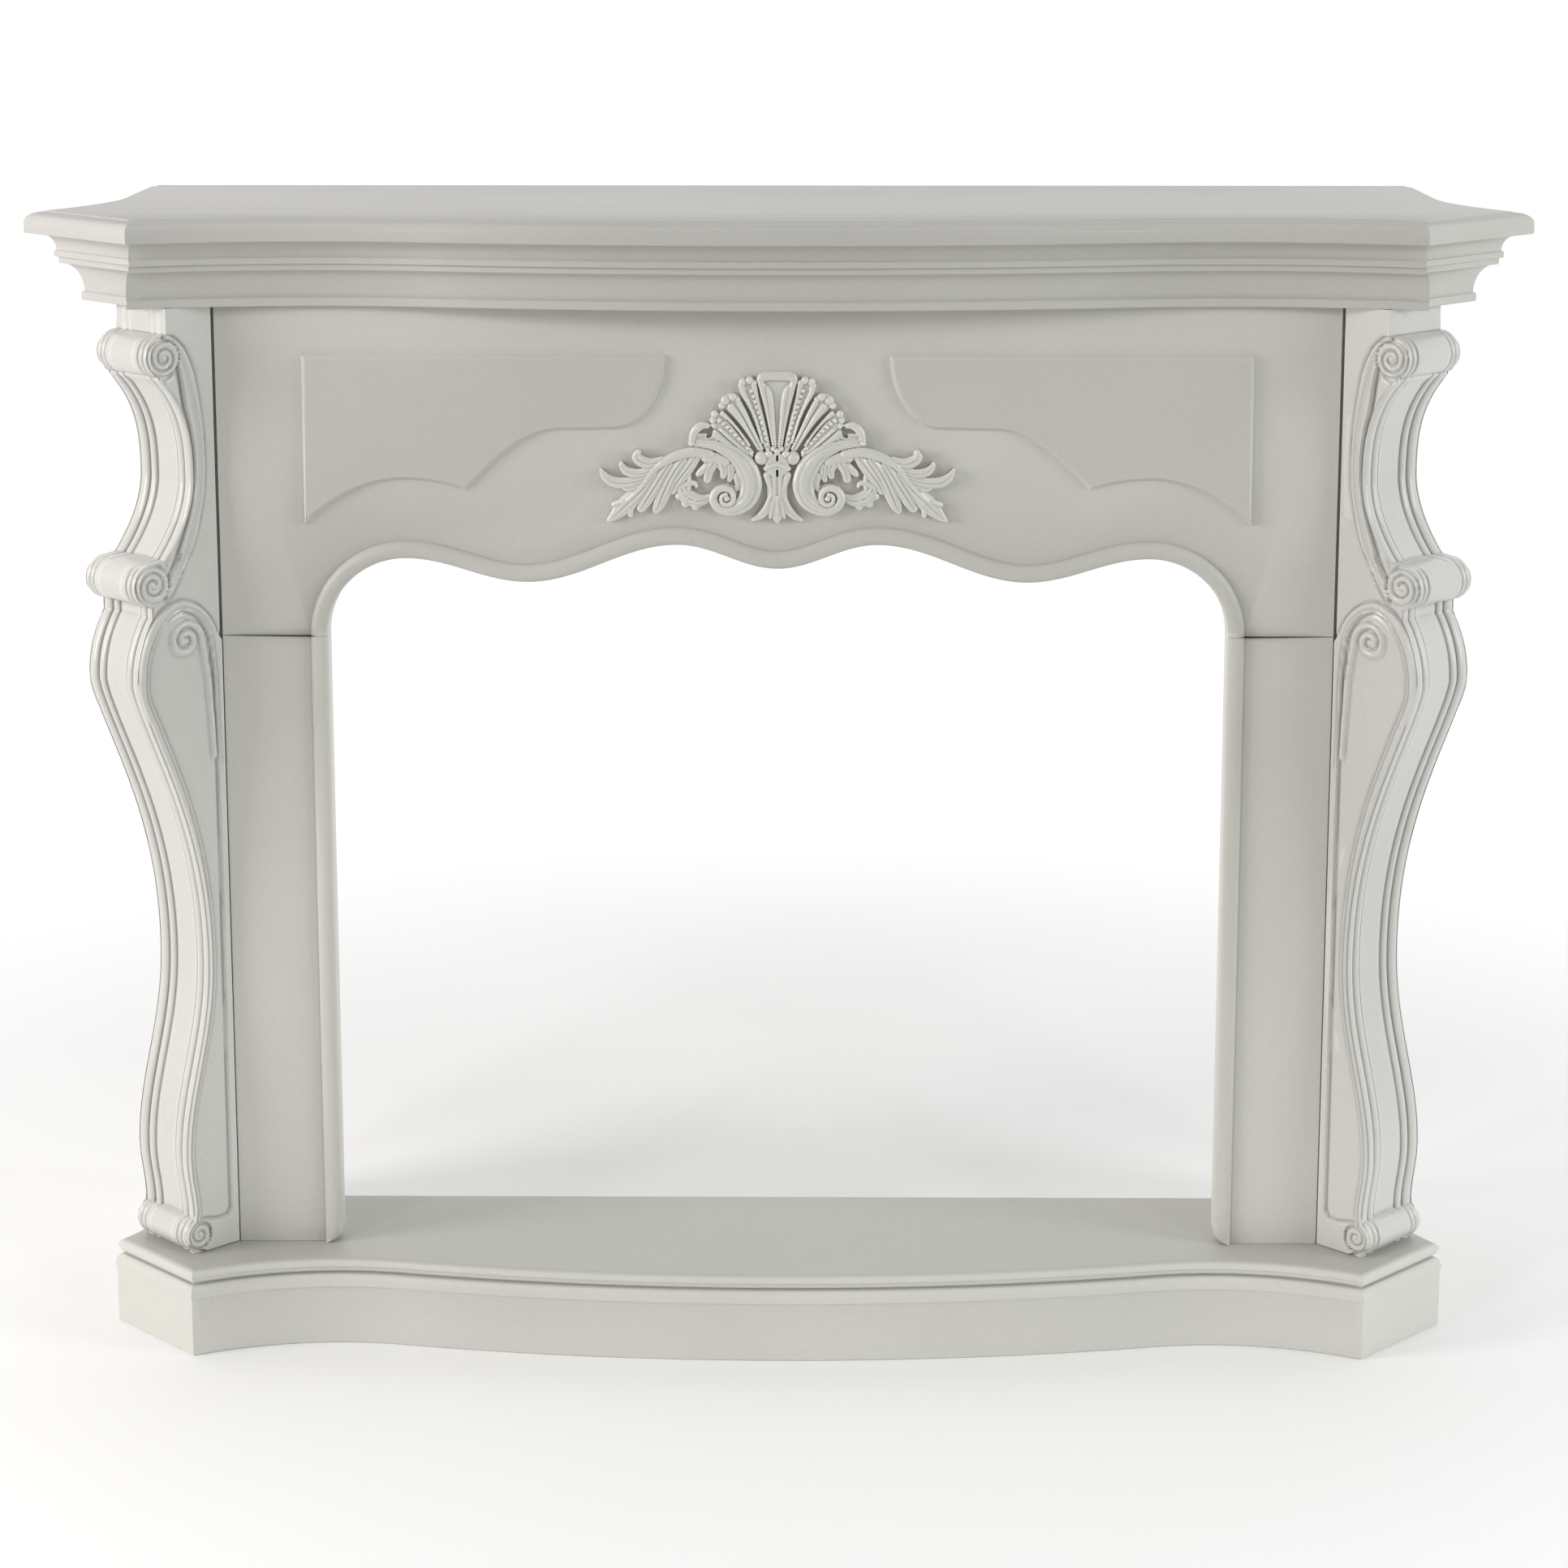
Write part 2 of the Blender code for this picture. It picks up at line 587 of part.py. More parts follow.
def truss_bands(border):
    """Carved bands of a truss's side as (outline, rise); border is where the upright one starts."""
    h = JAMB_H + FRIEZE_H + SEAT
    edge = EDGE_BAND / 2
    bands = []
    neck_band = [(truss_front(v) - 3.4 * edge, v * h) for v in (0.953, 0.93, 0.90, 0.86, 0.82)]
    neck_band += [(truss_front(v) - 3.4 * edge, v * h) for v in (0.79, 0.765, 0.745)]
    bands.append((band_outline(neck_band, EDGE_BAND, 0.8), 1.0))
    bands.append((band_outline(scroll_path(UPPER_SCROLL_D, 0.952 * h, UPPER_SCROLL_R, 200, -1.45),
                               SCROLL_BAND, 0.7), 1.25))
    bands.append((band_outline(scroll_path(LOWER_SCROLL_D, 0.720 * h, LOWER_SCROLL_R, 160, 1.45),
                               SCROLL_BAND, 0.7), 1.25))
    bands.append((band_outline(scroll_path(LEG_SCROLL_D, 0.666 * h, LEG_SCROLL_R, 20, 1.40),
                               SCROLL_BAND, 0.7), 1.25))
    bands.append((band_outline(scroll_path(FOOT_SCROLL_D, 0.021 * h, FOOT_SCROLL_R * 0.8, 150, -1.1, 8),
                               SCROLL_BAND * 0.8, 0.7), 1.25))
    leg = [(truss_front(v) - 1.6 * edge, v * h) for v in (0.675, 0.64, 0.59, 0.53, 0.47, 0.40, 0.32, 0.25)]
    leg += [(truss_front(v) - 1.6 * edge, v * h) for v in (0.19, 0.14, 0.09, 0.05)]
    bands.append((band_outline(leg, EDGE_BAND), 1.0))
    bands.append((band_outline([(border, 0.66 * h), (border, 0.006 * h)], EDGE_BAND * 0.55), 1.0))
    return bands


def build_trusses(coll, cutters, mat):
    """The right truss with its carved sides, and the left one as its mirror image."""
    height = Z_FRIEZE_TOP - Z_JAMB
    rings = []
    for t, h in truss_section():
        row = [truss_point(t, 0, height), truss_point(t, 0, 0)]
        for v in truss_levels():
            flat = v < 0.004 or v > 0.9735
            row.append(truss_point(t, truss_front(v) - (0.5 * h if flat else h), v * height))
        rings.append(row)
    right = finish("console_right", loft(rings), coll, mat)
    covered = (X_SIDE - X_JAMB - TRUSS_GAP) * math.sqrt(2) - TRUSS_T
    for face, wall, out, border in (("inner", 0.0, -1, 0.3 * EDGE_BAND),
                                    ("outer", TRUSS_T, 1, covered + 0.6 * EDGE_BAND)):
        for i, (outline, rise) in enumerate(truss_bands(border)):
            depths = (wall - out * BAND_RISE / 2, wall + out * BAND_RISE * rise)
            rows = [[truss_point(t, s, z) for s, z in outline] for t in depths]
            band = finish("band_%s_%d" % (face, i), loft(rows), cutters, None)
            band.hide_render = True
            band.display_type = "WIRE"
            boolean(right, band, "UNION")
    bpy.context.view_layer.update()
    graph = bpy.context.evaluated_depsgraph_get()
    mesh = bpy.data.meshes.new_from_object(right.evaluated_get(graph))
    mesh.name = "console_left"
    for v in mesh.vertices:
        v.co.x = -v.co.x
    mesh.flip_normals()
    left = bpy.data.objects.new("console_left", mesh)
    coll.objects.link(left)


def build_side(name, side, coll, mat):
    """Plain board from the back of the truss to the wall, its front end mitred to the truss."""
    reach = TRUSS_T * math.sqrt(0.5)
    x_corner = X_JAMB + TRUSS_GAP + reach
    y_corner = Y_FACE + reach
    clear = 2 * SEAT
    section = [(X_SIDE - SIDE_T, y_corner + clear), (x_corner, y_corner + clear),
               (X_SIDE, y_corner + clear - (X_SIDE - x_corner)), (X_SIDE, Y_WALL), (X_SIDE - SIDE_T, Y_WALL)]
    rings = [[Vector((side * x, y, z)) for x, y in section] for z in (Z_JAMB, Z_FRIEZE_TOP)]
    return finish(name, loft(rings), coll, mat)


# Carved shell

def smooth_path(knots, steps):
    """Points on a smooth curve through knots of (x, z, half width, height)."""
    knots = np.array(knots, float)
    ends = np.vstack([2 * knots[0] - knots[1], knots, 2 * knots[-1] - knots[-2]])
    rows = []
    for i in range(len(knots) - 1):
        p0, p1, p2, p3 = ends[i:i + 4]
        for u in np.linspace(0, 1, steps, endpoint=False):
            rows.append(0.5 * (2 * p1 + (p2 - p0) * u + (2 * p0 - 5 * p1 + 4 * p2 - p3) * u ** 2
                               + (3 * p1 - p0 - 3 * p2 + p3) * u ** 3))
    rows.append(knots[-1])
    return np.array(rows)


def shell_elements():
    """Strokes of the right half, in thousandths of the carving's own height and width."""
    strokes = []
    # lobes of the fan, from the middle out: (angle from upright, length, half width at the rim)
    for angle, length, width in ((0, 78, 17), (21, 73, 9.5), (40, 66, 10), (56, 59, 8), (70, 48, 6)):
        a = math.radians(angle)
        x0, z0 = 3 * math.sin(a), 70.0
        x1, z1 = length * math.sin(a), 70 + length * math.cos(a)
        strokes.append([(x0, z0, 3.5, 7), ((x0 + x1) / 2, (z0 + z1) / 2, width * 0.55, 9), (x1, z1 - width * 0.6, width, 12)])
    # C scroll: from the small curl over the top and round into the eye
    strokes.append([(84, 79, 4, 8), (66, 79, 6, 9), (42, 68, 9, 10), (26, 50, 10, 12), (24, 30, 9.5, 13),
                    (36, 14, 9, 13), (54, 10, 7, 12), (66, 20, 5.5, 12), (63, 32, 5, 12), (52, 34, 4.5, 12),
                    (46, 27, 4.5, 13), (50, 21, 4, 13)])
    # curl beside the fan and the leaf tips inside the scroll
    strokes.append([(72, 84, 4, 8), (78, 92, 4, 9), (72, 97, 3, 8)])
    strokes.append([(60, 58, 6, 9), (64, 47, 4.5, 9), (68, 40, 3, 7)])
    strokes.append([(48, 54, 5, 8), (46, 45, 4, 8)])
    # acanthus: midrib, upper curls, tip and lower lobes
    strokes.append([(58, 62, 7, 9), (88, 62, 10, 10), (112, 56, 10, 10), (132, 44, 8, 9), (148, 27, 8, 8), (170, 2.5, 3, 6)])
    strokes.append([(118, 58, 6, 9), (138, 57, 5, 9), (140, 66, 4, 8)])
    strokes.append([(130, 50, 6, 8), (152, 48, 5, 8), (154, 56, 3.5, 7)])
    strokes.append([(130, 44, 6, 8), (156, 38, 6, 7), (175, 50, 2.5, 5)])
    strokes.append([(120, 46, 6, 9), (134, 26, 6, 8), (138, 11, 4, 6)])
    strokes.append([(108, 50, 6, 9), (116, 28, 7, 8), (120, 10, 4.5, 6)])
    strokes.append([(96, 54, 6, 9), (104, 38, 7, 9), (108, 26, 5, 7)])
    # lower leaf beside the scroll
    strokes.append([(86, 46, 4, 7), (92, 34, 8, 9), (88, 22, 9, 9), (76, 18, 6, 9), (66, 22, 5, 9)])
    strokes.append([(86, 58, 5, 8), (86, 46, 4, 7)])
    # calyx below the fan
    strokes.append([(0, 74, 9, 9), (4, 50, 11, 11), (4, 30, 8, 10), (6, 14, 8, 9), (3, 5, 4, 7)])
    strokes.append([(8, 24, 6, 8), (16, 12, 4.5, 7), (26, 3, 2.5, 6)])
    strokes.append([(14, 66, 6, 9), (10, 56, 6, 9)])
    return strokes


def shell_height(x, z):
    """Height of the carving over the frieze at points x, z in its own frame, in metres."""
    sx, sz = SHELL_W / 354.0, SHELL_H / 150.0
    u, w = np.abs(x) / sx, z / sz
    top = np.zeros_like(u)
    for knots in shell_elements():
        for px, pz, half, height in smooth_path(knots, 7):
            q = ((u - px) ** 2 + (w - pz) ** 2) / (half * half)
            bump = height * np.sqrt(np.clip(1 - q, 0, None)) ** 0.8
            top = np.maximum(top, bump)
    return top * 0.001


def relief_mesh(height, nx, nz, x0, z0, step, level, place):
    """Closed body whose front follows the height grid wherever it stands over the level."""
    bm = bmesh.new()
    front, back = {}, {}

    def vert(key, x, z, h):
        if key not in front:
            front[key] = bm.verts.new(place(x, z, h))
            back[key] = bm.verts.new(place(x, z, 0.0))
        return key

    def corner(i, j):
        return vert((i, j), x0 + i * step, z0 + j * step, height[i, j])

    def crossing(a, b):
        if b < a:
            a, b = b, a
        ha, hb = height[a], height[b]
        u = min(max((level - ha) / (hb - ha), 0.12), 0.88)
        x = x0 + (a[0] + (b[0] - a[0]) * u) * step
        z = z0 + (a[1] + (b[1] - a[1]) * u) * step
        return vert((a, b), x, z, level)

    for i in range(nx - 1):
        for j in range(nz - 1):
            quad = [(i, j), (i + 1, j), (i + 1, j + 1), (i, j + 1)]
            if (i + j) % 2:
                cells = [(quad[0], quad[1], quad[2]), (quad[0], quad[2], quad[3])]
            else:
                cells = [(quad[0], quad[1], quad[3]), (quad[1], quad[2], quad[3])]
            for cell in cells:
                ring_keys, cut = [], []
                for k in range(3):
                    a, b = cell[k], cell[(k + 1) % 3]
                    if height[a] > level:
                        ring_keys.append(corner(*a))
                    if (height[a] > level) != (height[b] > level):
                        ring_keys.append(crossing(a, b))
                        cut.append((len(ring_keys) - 1, height[a] > level))
                if len(ring_keys) < 3:
                    continue
                bm.faces.new([front[k] for k in ring_keys])
                bm.faces.new([back[k] for k in reversed(ring_keys)])
                if len(cut) == 2:
                    out = [k for k, leaving in cut if leaving][0]
                    a, b = ring_keys[out], ring_keys[(out + 1) % len(ring_keys)]
                    bm.faces.new((front[b], front[a], back[a], back[b]))
    return bm


def keep_largest(bm):
    """Drop loose crumbs of a body."""
    groups, seen = [], set()
    for start in bm.verts:
        if start in seen:
            continue
        stack, group = [start], []
        seen.add(start)
        while stack:
            v = stack.pop()
            group.append(v)
            for e in v.link_edges:
                o = e.other_vert(v)
                if o not in seen:
                    seen.add(o)
                    stack.append(o)
        groups.append(group)
    groups.sort(key=len)
    for group in groups[:-1]:
        bmesh.ops.delete(bm, geom=group, context="VERTS")


def build_shell(coll, mat):
    step = SHELL_GRID
    half = int(SHELL_W / 2 / step) + 2
    nx, nz = 2 * half + 1, int(SHELL_H / step) + 5
    x0, z0 = -half * step, -2 * step
    xs = x0 + step * np.arange(nx)[:, None] + np.zeros((1, nz))
    zs = z0 + step * np.arange(nz)[None, :] + np.zeros((nx, 1))
    height = shell_height(xs, zs)
    bottom = Z_FRIEZE_TOP - SHELL_DROP - SHELL_H
    bm = relief_mesh(height, nx, nz, x0, z0, step, SHELL_SKIN,
                     lambda x, z, h: Vector((x, Y_FACE - SEAT - h, bottom + z)))
    keep_largest(bm)
    bm.normal_update()
    flat_back = {f for f in bm.faces if all(abs(v.co.y - (Y_FACE - SEAT)) < 1e-7 for v in f.verts)}
    inner = {e for f in flat_back for e in f.edges if all(g in flat_back for g in e.link_faces)}
    verts = {v for f in flat_back for v in f.verts}
    bmesh.ops.dissolve_limit(bm, angle_limit=0.02, verts=list(verts), edges=list(inner))
    bmesh.ops.triangulate(bm, faces=bm.faces)
    shell = finish("applique", bm, coll, mat, 60)
    thin = shell.modifiers.new("Decimate", "DECIMATE")
    thin.ratio = SHELL_KEPT
    return shell


def main():
    clear_scene()
    parts = collection("fireplace_mantelpiece")
    cutters = collection("cutters")
    paint = (0.68, 0.67, 0.64)
    mats = {name: material(name, colour, rough) for name, colour, rough in (
        ("shelf_paint", paint, 0.40), ("moulding_paint", paint, 0.42), ("board_paint", paint, 0.45),
        ("truss_paint", (0.70, 0.69, 0.67), 0.38), ("carving_paint", (0.72, 0.71, 0.69), 0.38),
        ("hearth_paint", paint, 0.42))}
    build_shelf(parts, mats["shelf_paint"])
    build_cornice(parts, cutters, mats["moulding_paint"])
    frieze = build_frieze(parts, mats["board_paint"])
    add_fields(frieze, cutters)
    for suffix, side in (("left", -1), ("right", 1)):
        build_jamb("jamb_" + suffix, side, parts, mats["board_paint"])
        build_side("side_return_" + suffix, side, parts, mats["board_paint"])
    build_trusses(parts, cutters, mats["truss_paint"])
    build_shell(parts, mats["carving_paint"])
    build_hearth(parts, cutters, mats["hearth_paint"])


main()
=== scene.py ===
"""Looks of the fireplace mantelpiece: fine mouldings, carved shell, scrolled trusses, white satin paint.

Metres, Z up. X runs along the shelf, Y from the room (negative) to the wall (positive).
Nine pieces take the place of their CAD nodes, finer and with the same outline. The two side
boards are shown as they are.
"""
import math

import bmesh  # noqa: E402
import bpy  # noqa: E402
import numpy as np  # noqa: E402
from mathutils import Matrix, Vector  # noqa: E402


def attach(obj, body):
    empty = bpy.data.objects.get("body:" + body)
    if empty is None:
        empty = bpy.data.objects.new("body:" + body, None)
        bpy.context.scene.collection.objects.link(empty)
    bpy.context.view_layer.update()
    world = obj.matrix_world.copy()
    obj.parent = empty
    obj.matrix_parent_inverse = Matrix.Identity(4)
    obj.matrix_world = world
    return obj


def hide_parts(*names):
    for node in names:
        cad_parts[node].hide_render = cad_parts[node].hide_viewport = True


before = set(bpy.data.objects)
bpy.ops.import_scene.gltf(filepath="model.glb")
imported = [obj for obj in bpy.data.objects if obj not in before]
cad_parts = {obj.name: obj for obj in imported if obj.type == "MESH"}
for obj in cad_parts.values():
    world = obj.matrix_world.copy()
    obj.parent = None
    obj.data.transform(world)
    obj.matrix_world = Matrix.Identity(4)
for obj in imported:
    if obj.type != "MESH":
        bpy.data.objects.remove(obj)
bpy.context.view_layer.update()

# Sizes shared with the CAD

# gaps between pieces
SEAT = 0.0003
TRUSS_GAP = 0.003
# opening and boards
OPENING_HALF = 0.4515
JAMB_W = 0.106
BOARD_T = 0.024
JAMB_H = 0.642
FRIEZE_H = 0.333
BEAD_W = 0.017
BEAD_RISE = 0.006
BEAD_FOOT = 0.015
# wavy edge over the opening
SIDE_ARCH_W = 0.0795
SIDE_ARCH_RISE = 0.0787
DIP_FROM_SIDE = 0.2015
DIP_RISE = 0.0547
MID_ARCH_X = 0.100
MID_ARCH_RISE = 0.0927
MID_DIP_RISE = 0.0685
# raised fields
FIELD_RISE = 0.0055
FIELD_BEVEL = 0.004
FIELD_TOP_DROP = 0.0487
FIELD_SIDE = 0.0855
FIELD_IN_X = 0.111
FIELD_COVE_W = 0.052
FIELD_COVE_H = 0.075
FIELD_FLAT = 0.053
FIELD_CUSP_W = 0.095
FIELD_CUSP_DROP = 0.060
FIELD_CROWN_UP = 0.010
FIELD_CROWN_W = 0.061
FIELD_TIP_DROP = 0.045
# hearth
HEARTH_H = 0.090
HEARTH_EDGE_H = 0.029
HEARTH_CORNER_OUT = 0.037
HEARTH_EAR_RISE = 0.036
HEARTH_EAR_FACE = 0.1345
HEARTH_SIDE = 0.014
HEARTH_SWEEP = 0.150
HEARTH_NOTCH_FRONT = 0.130
HEARTH_TONGUE = 0.082
# shelf
SHELF_T = 0.0223
SHELF_CORNER_OUT = 0.068
SHELF_EAR_RISE = 0.034
SHELF_EAR_FACE = 0.176
SHELF_SIDE = 0.061
SHELF_SWEEP = 0.184
NOSING_ROUND_W = 0.016
NOSING_ROUND_H = 0.0115
# serpentine plan
FRONT_DEPTH = 0.054
DIP_X = 0.445
BOW = 0.043
WALL_DEPTH = 0.348
# cornice
CORNICE_H = 0.067
UPPER_COVE_H = 0.017
FILLET_H = 0.0065
LIP_H = 0.0085
CORNICE_SET = 0.010
UPPER_COVE_D = 0.012
FILLET_STEP = 0.0035
COVE_D = 0.019
LIP_OUT = 0.0025
CORNICE_BACK = 0.006
# trusses
TRUSS_T = 0.085
NECK_D = 0.030
WAIST_D = 0.026
BELLY_D = 0.100
SHIN_D = 0.060
ABACUS_D = 0.053
UPPER_SCROLL_D = 0.057
UPPER_SCROLL_R = 0.021
LOWER_SCROLL_D = 0.079
LOWER_SCROLL_R = 0.0215
FOOT_SCROLL_D = 0.048
FOOT_SCROLL_R = 0.018
# side boards
SIDE_T = 0.020
SIDE_OUT = 0.0704
# carved shell
SHELL_H = 0.150
SHELL_DROP = 0.065
SHELL_GRID = 0.00075       # spacing of the carving's facets
SHELL_SKIN = 0.0012        # least thickness at its outline

# Places that follow from the sizes
Z_JAMB = HEARTH_H + SEAT
Z_JOINT = Z_JAMB + JAMB_H
Z_FRIEZE = Z_JOINT + SEAT
Z_FRIEZE_TOP = Z_FRIEZE + FRIEZE_H
Z_CORNICE = Z_FRIEZE_TOP + SEAT
Z_CORNICE_TOP = Z_CORNICE + CORNICE_H
Z_SHELF = Z_CORNICE_TOP + SEAT
Z_TOP = Z_SHELF + SHELF_T
Y_FACE = (FRONT_DEPTH + BOW - WALL_DEPTH) / 2
Y_WALL = Y_FACE + WALL_DEPTH
X_JAMB = OPENING_HALF + JAMB_W
X_SIDE = X_JAMB + SIDE_OUT
TRUSS_H = Z_FRIEZE_TOP - Z_JAMB
CURVE_STEPS = 44           # along each curve of the plan


# Materials

class Nodes:
    """A short way to add and link shader nodes."""

    def __init__(self, owner):
        owner.use_nodes = True
        self.tree = owner.node_tree
        self.bsdf = self.tree.nodes.get("Principled BSDF")
        self.coord = self.add("ShaderNodeTexCoord").outputs
        self.place = self.coord["Object"]

    def add(self, kind, **values):
        node = self.tree.nodes.new(kind)
        for key, value in values.items():
            if key in node.inputs:
                node.inputs[key].default_value = value
            else:
                setattr(node, key, value)
        return node

    def link(self, a, b):
        self.tree.links.new(a, b)

    def noise(self, scale, detail, roughness=0.5, place=None):
        """Noise over the object's own coordinates, or over the given ones."""
        node = self.add("ShaderNodeTexNoise", Scale=scale, Detail=detail, Roughness=roughness)
        self.link(place or self.place, node.inputs["Vector"])
        return node.outputs["Fac"]

    def span(self, value, source, target, **values):
        """The value mapped from the range source to the range target."""
        node = self.add("ShaderNodeMapRange", **values)
        for key, number in zip(("From Min", "From Max", "To Min", "To Max"), (*source, *target)):
            node.inputs[key].default_value = number
        self.link(value, node.inputs["Value"])
        return node.outputs["Result"]

    def ramp(self, value, low, high, ends=(0.0, 1.0)):
        """Colours from low to high over the value."""
        node = self.add("ShaderNodeValToRGB")
        for stop, position, colour in zip(node.color_ramp.elements, ends, (low, high)):
            stop.position = position
            stop.color = (*colour, 1)
        self.link(value, node.inputs["Fac"])
        return node.outputs["Color"]

    def times(self, colour, factor):
        """The colour multiplied by a factor."""
        node = self.add("ShaderNodeMix", data_type="RGBA", blend_type="MULTIPLY")
        node.inputs["Factor"].default_value = 1.0
        self.link(colour, node.inputs["A"])
        self.link(factor, node.inputs["B"])
        return node.outputs["Result"]

    def bump(self, height, strength, distance, under=None):
        """Normal with a fine relief, on top of another one if there is one."""
        node = self.add("ShaderNodeBump", Strength=strength, Distance=distance)
        self.link(height, node.inputs["Height"])
        if under:
            self.link(under, node.inputs["Normal"])
        return node.outputs["Normal"]


DULL = (0.925, 0.925, 0.915)     # colour of the paint's duller patches, as a share of its own
BRIGHT = 1.02                    # and of its brighter ones
PATCHES = (0.30, 0.70)           # part of the slow noise between them


def paint(name, colour, roughness, brush=(1.0, 1.0, 1.0), painted_crease_shade=0.12, peel=0.05, brushed=0.05,
          painted_top_shade=0.0, coat=0.0, painted_edge_highlight=0.0):
    """White satin paint: faint tone changes, brush marks along the board, painted shade in the hollows and a
    painted highlight on the arrises.

    painted_top_shade is how much darker surfaces that face up are painted, a painted shade on the tops; coat
    is a glossier film over the paint, painted_edge_highlight is how much lighter the arrises are painted, a
    painted highlight.
    """
    mat = bpy.data.materials.new(name)
    n = Nodes(mat)
    # slow changes of tone over the surface, and fine specks of the paint film
    slow = n.noise(2.6, 3.0)
    low = [c * share for c, share in zip(colour, DULL)]
    tone = n.ramp(slow, low, [min(c * BRIGHT, 1.0) for c in colour], PATCHES)
    tone = n.times(tone, n.span(n.noise(230.0, 4.0, 0.6), (0.35, 0.65), (0.965, 1.0)))
    # painted shade darkens the hollows and creases, and a painted highlight lightens the arrises
    geo = n.add("ShaderNodeNewGeometry")
    painted_shade_and_highlight = n.add("ShaderNodeMath", operation="MULTIPLY")
    n.link(n.span(geo.outputs["Pointiness"], (0.44, 0.497), (1.0 - painted_crease_shade, 1.0)), painted_shade_and_highlight.inputs[0])
    n.link(n.span(geo.outputs["Pointiness"], (0.505, 0.56), (1.0, 1.0 + painted_edge_highlight)), painted_shade_and_highlight.inputs[1])
    tone = n.times(tone, painted_shade_and_highlight.outputs["Value"])
    # surfaces that face up are painted darker: painted shade on the tops
    if painted_top_shade > 0:
        split = n.add("ShaderNodeSeparateXYZ")
        n.link(geo.outputs["Normal"], split.inputs["Vector"])
        tone = n.times(tone, n.span(split.outputs["Z"], (0.70, 0.97), (1.0, 1.0 - painted_top_shade)))
    n.link(tone, n.bsdf.inputs["Base Color"])
    # sheen varies with the thickness of the film
    n.link(n.span(slow, (0.3, 0.7), (roughness - 0.05, roughness + 0.07)), n.bsdf.inputs["Roughness"])
    for key, value in (("IOR", 1.47), ("Metallic", 0.0), ("Coat Weight", coat), ("Coat Roughness", 0.11)):
        n.bsdf.inputs[key].default_value = value
    # orange peel of the roller, then brush marks drawn out along the grain
    rolled = n.bump(n.noise(420.0, 2.0), peel, 0.0006)
    stretch = n.add("ShaderNodeMapping")
    stretch.inputs["Scale"].default_value = brush
    n.link(n.place, stretch.inputs["Vector"])
    marks = n.noise(90.0, 3.0, 0.55, stretch.outputs["Vector"])
    n.link(n.bump(marks, brushed, 0.0010, rolled), n.bsdf.inputs["Normal"])
    return mat


ALONG = (0.06, 1.0, 1.0)         # brush marks along X
UPRIGHT = (1.0, 1.0, 0.06)       # brush marks along Z
WHITE = (0.630, 0.618, 0.583)
BOARD_WHITE = (0.630, 0.622, 0.577)
# the trusses, the carving and the hearth are painted in lighter copies of the boards' white: painted light,
# for the brighter light that falls on them
TRUSS_WHITE_LIT = (0.700, 0.692, 0.660)
CARVING_WHITE_LIT = (0.735, 0.725, 0.684)
HEARTH_WHITE_LIT = (0.700, 0.697, 0.652)
MATS = {
    "shelf_paint": paint("satin_shelf", WHITE, 0.36, ALONG, painted_top_shade=0.23),
    "moulding_paint": paint("satin_moulding", WHITE, 0.38, ALONG, painted_crease_shade=0.16),
    "board_paint": paint("satin_boards", BOARD_WHITE, 0.42, UPRIGHT, painted_crease_shade=0.10, painted_edge_highlight=0.12),
    "truss_paint": paint("satin_trusses", TRUSS_WHITE_LIT, 0.27, UPRIGHT, painted_crease_shade=0.42, coat=0.30, painted_edge_highlight=0.10),
    "carving_paint": paint("satin_carving", CARVING_WHITE_LIT, 0.24, painted_crease_shade=0.54, brushed=0.02, coat=0.45,
                           painted_edge_highlight=0.26),
    "hearth_paint": paint("satin_hearth", HEARTH_WHITE_LIT, 0.40, ALONG, painted_top_shade=0.28),
}


# Meshes

def new_object(name, data):
    """An object of the scene with this mesh, light or camera."""
    obj = bpy.data.objects.new(name, data)
    bpy.context.scene.collection.objects.link(obj)
    return obj


def piece(name, verts, faces, slot, node, angle):
    """A mesh that rides on the frame in place of a CAD node."""
    mesh = bpy.data.meshes.new(name)
    mesh.from_pydata([tuple(map(float, v)) for v in verts], [], [tuple(map(int, f)) for f in faces])
    mesh.validate()
    bm = bmesh.new()
    bm.from_mesh(mesh)
    bmesh.ops.remove_doubles(bm, verts=bm.verts, dist=1e-6)
    bmesh.ops.recalc_face_normals(bm, faces=bm.faces)
    bm.to_mesh(mesh)
    bm.free()
    mesh.materials.append(MATS[slot])
    mesh.shade_smooth()
    mesh.set_sharp_from_angle(angle=math.radians(angle))
    obj = new_object(name, mesh)
    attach(obj, "root")
    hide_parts(node)
    return obj


class Solid:
    """Collects lofts into one list of points and faces."""

    def __init__(self):
        self.verts, self.faces = [], []

    def loft(self, rings, cap=True):
        base, count = len(self.verts), len(rings[0])
        for ring in rings:
            self.verts += [tuple(p) for p in ring]
        for r in range(len(rings) - 1):
            a, b = base + r * count, base + (r + 1) * count
            for i in range(count):
                j = (i + 1) % count
                self.faces.append((a + i, a + j, b + j, b + i))
        if cap:
            self.faces.append(tuple(reversed(range(base, base + count))))
            end = base + (len(rings) - 1) * count
            self.faces.append(tuple(range(end, end + count)))
        return self


def front_half(corner_x, ear_rise, steps):
    """The serpentine from the centre line to the ear's corner: a convex bow, then a hollow."""
    y_dip = Y_FACE - FRONT_DEPTH
    reach = corner_x - DIP_X
    r_dip = (reach ** 2 + ear_rise ** 2) / (2 * ear_rise)
    r_bow = (DIP_X ** 2 + BOW ** 2) / (2 * BOW) - r_dip
    join = DIP_X * r_bow / (r_bow + r_dip)
    points = []
    for i in range(steps):
        x = join * i / steps
        points.append((x, y_dip - BOW + r_bow - math.sqrt(r_bow ** 2 - x * x)))
    for i in range(steps + 1):
        x = join + (corner_x - join) * i / steps
        points.append((x, y_dip - r_dip + math.sqrt(r_dip ** 2 - (x - DIP_X) ** 2)))
    return points


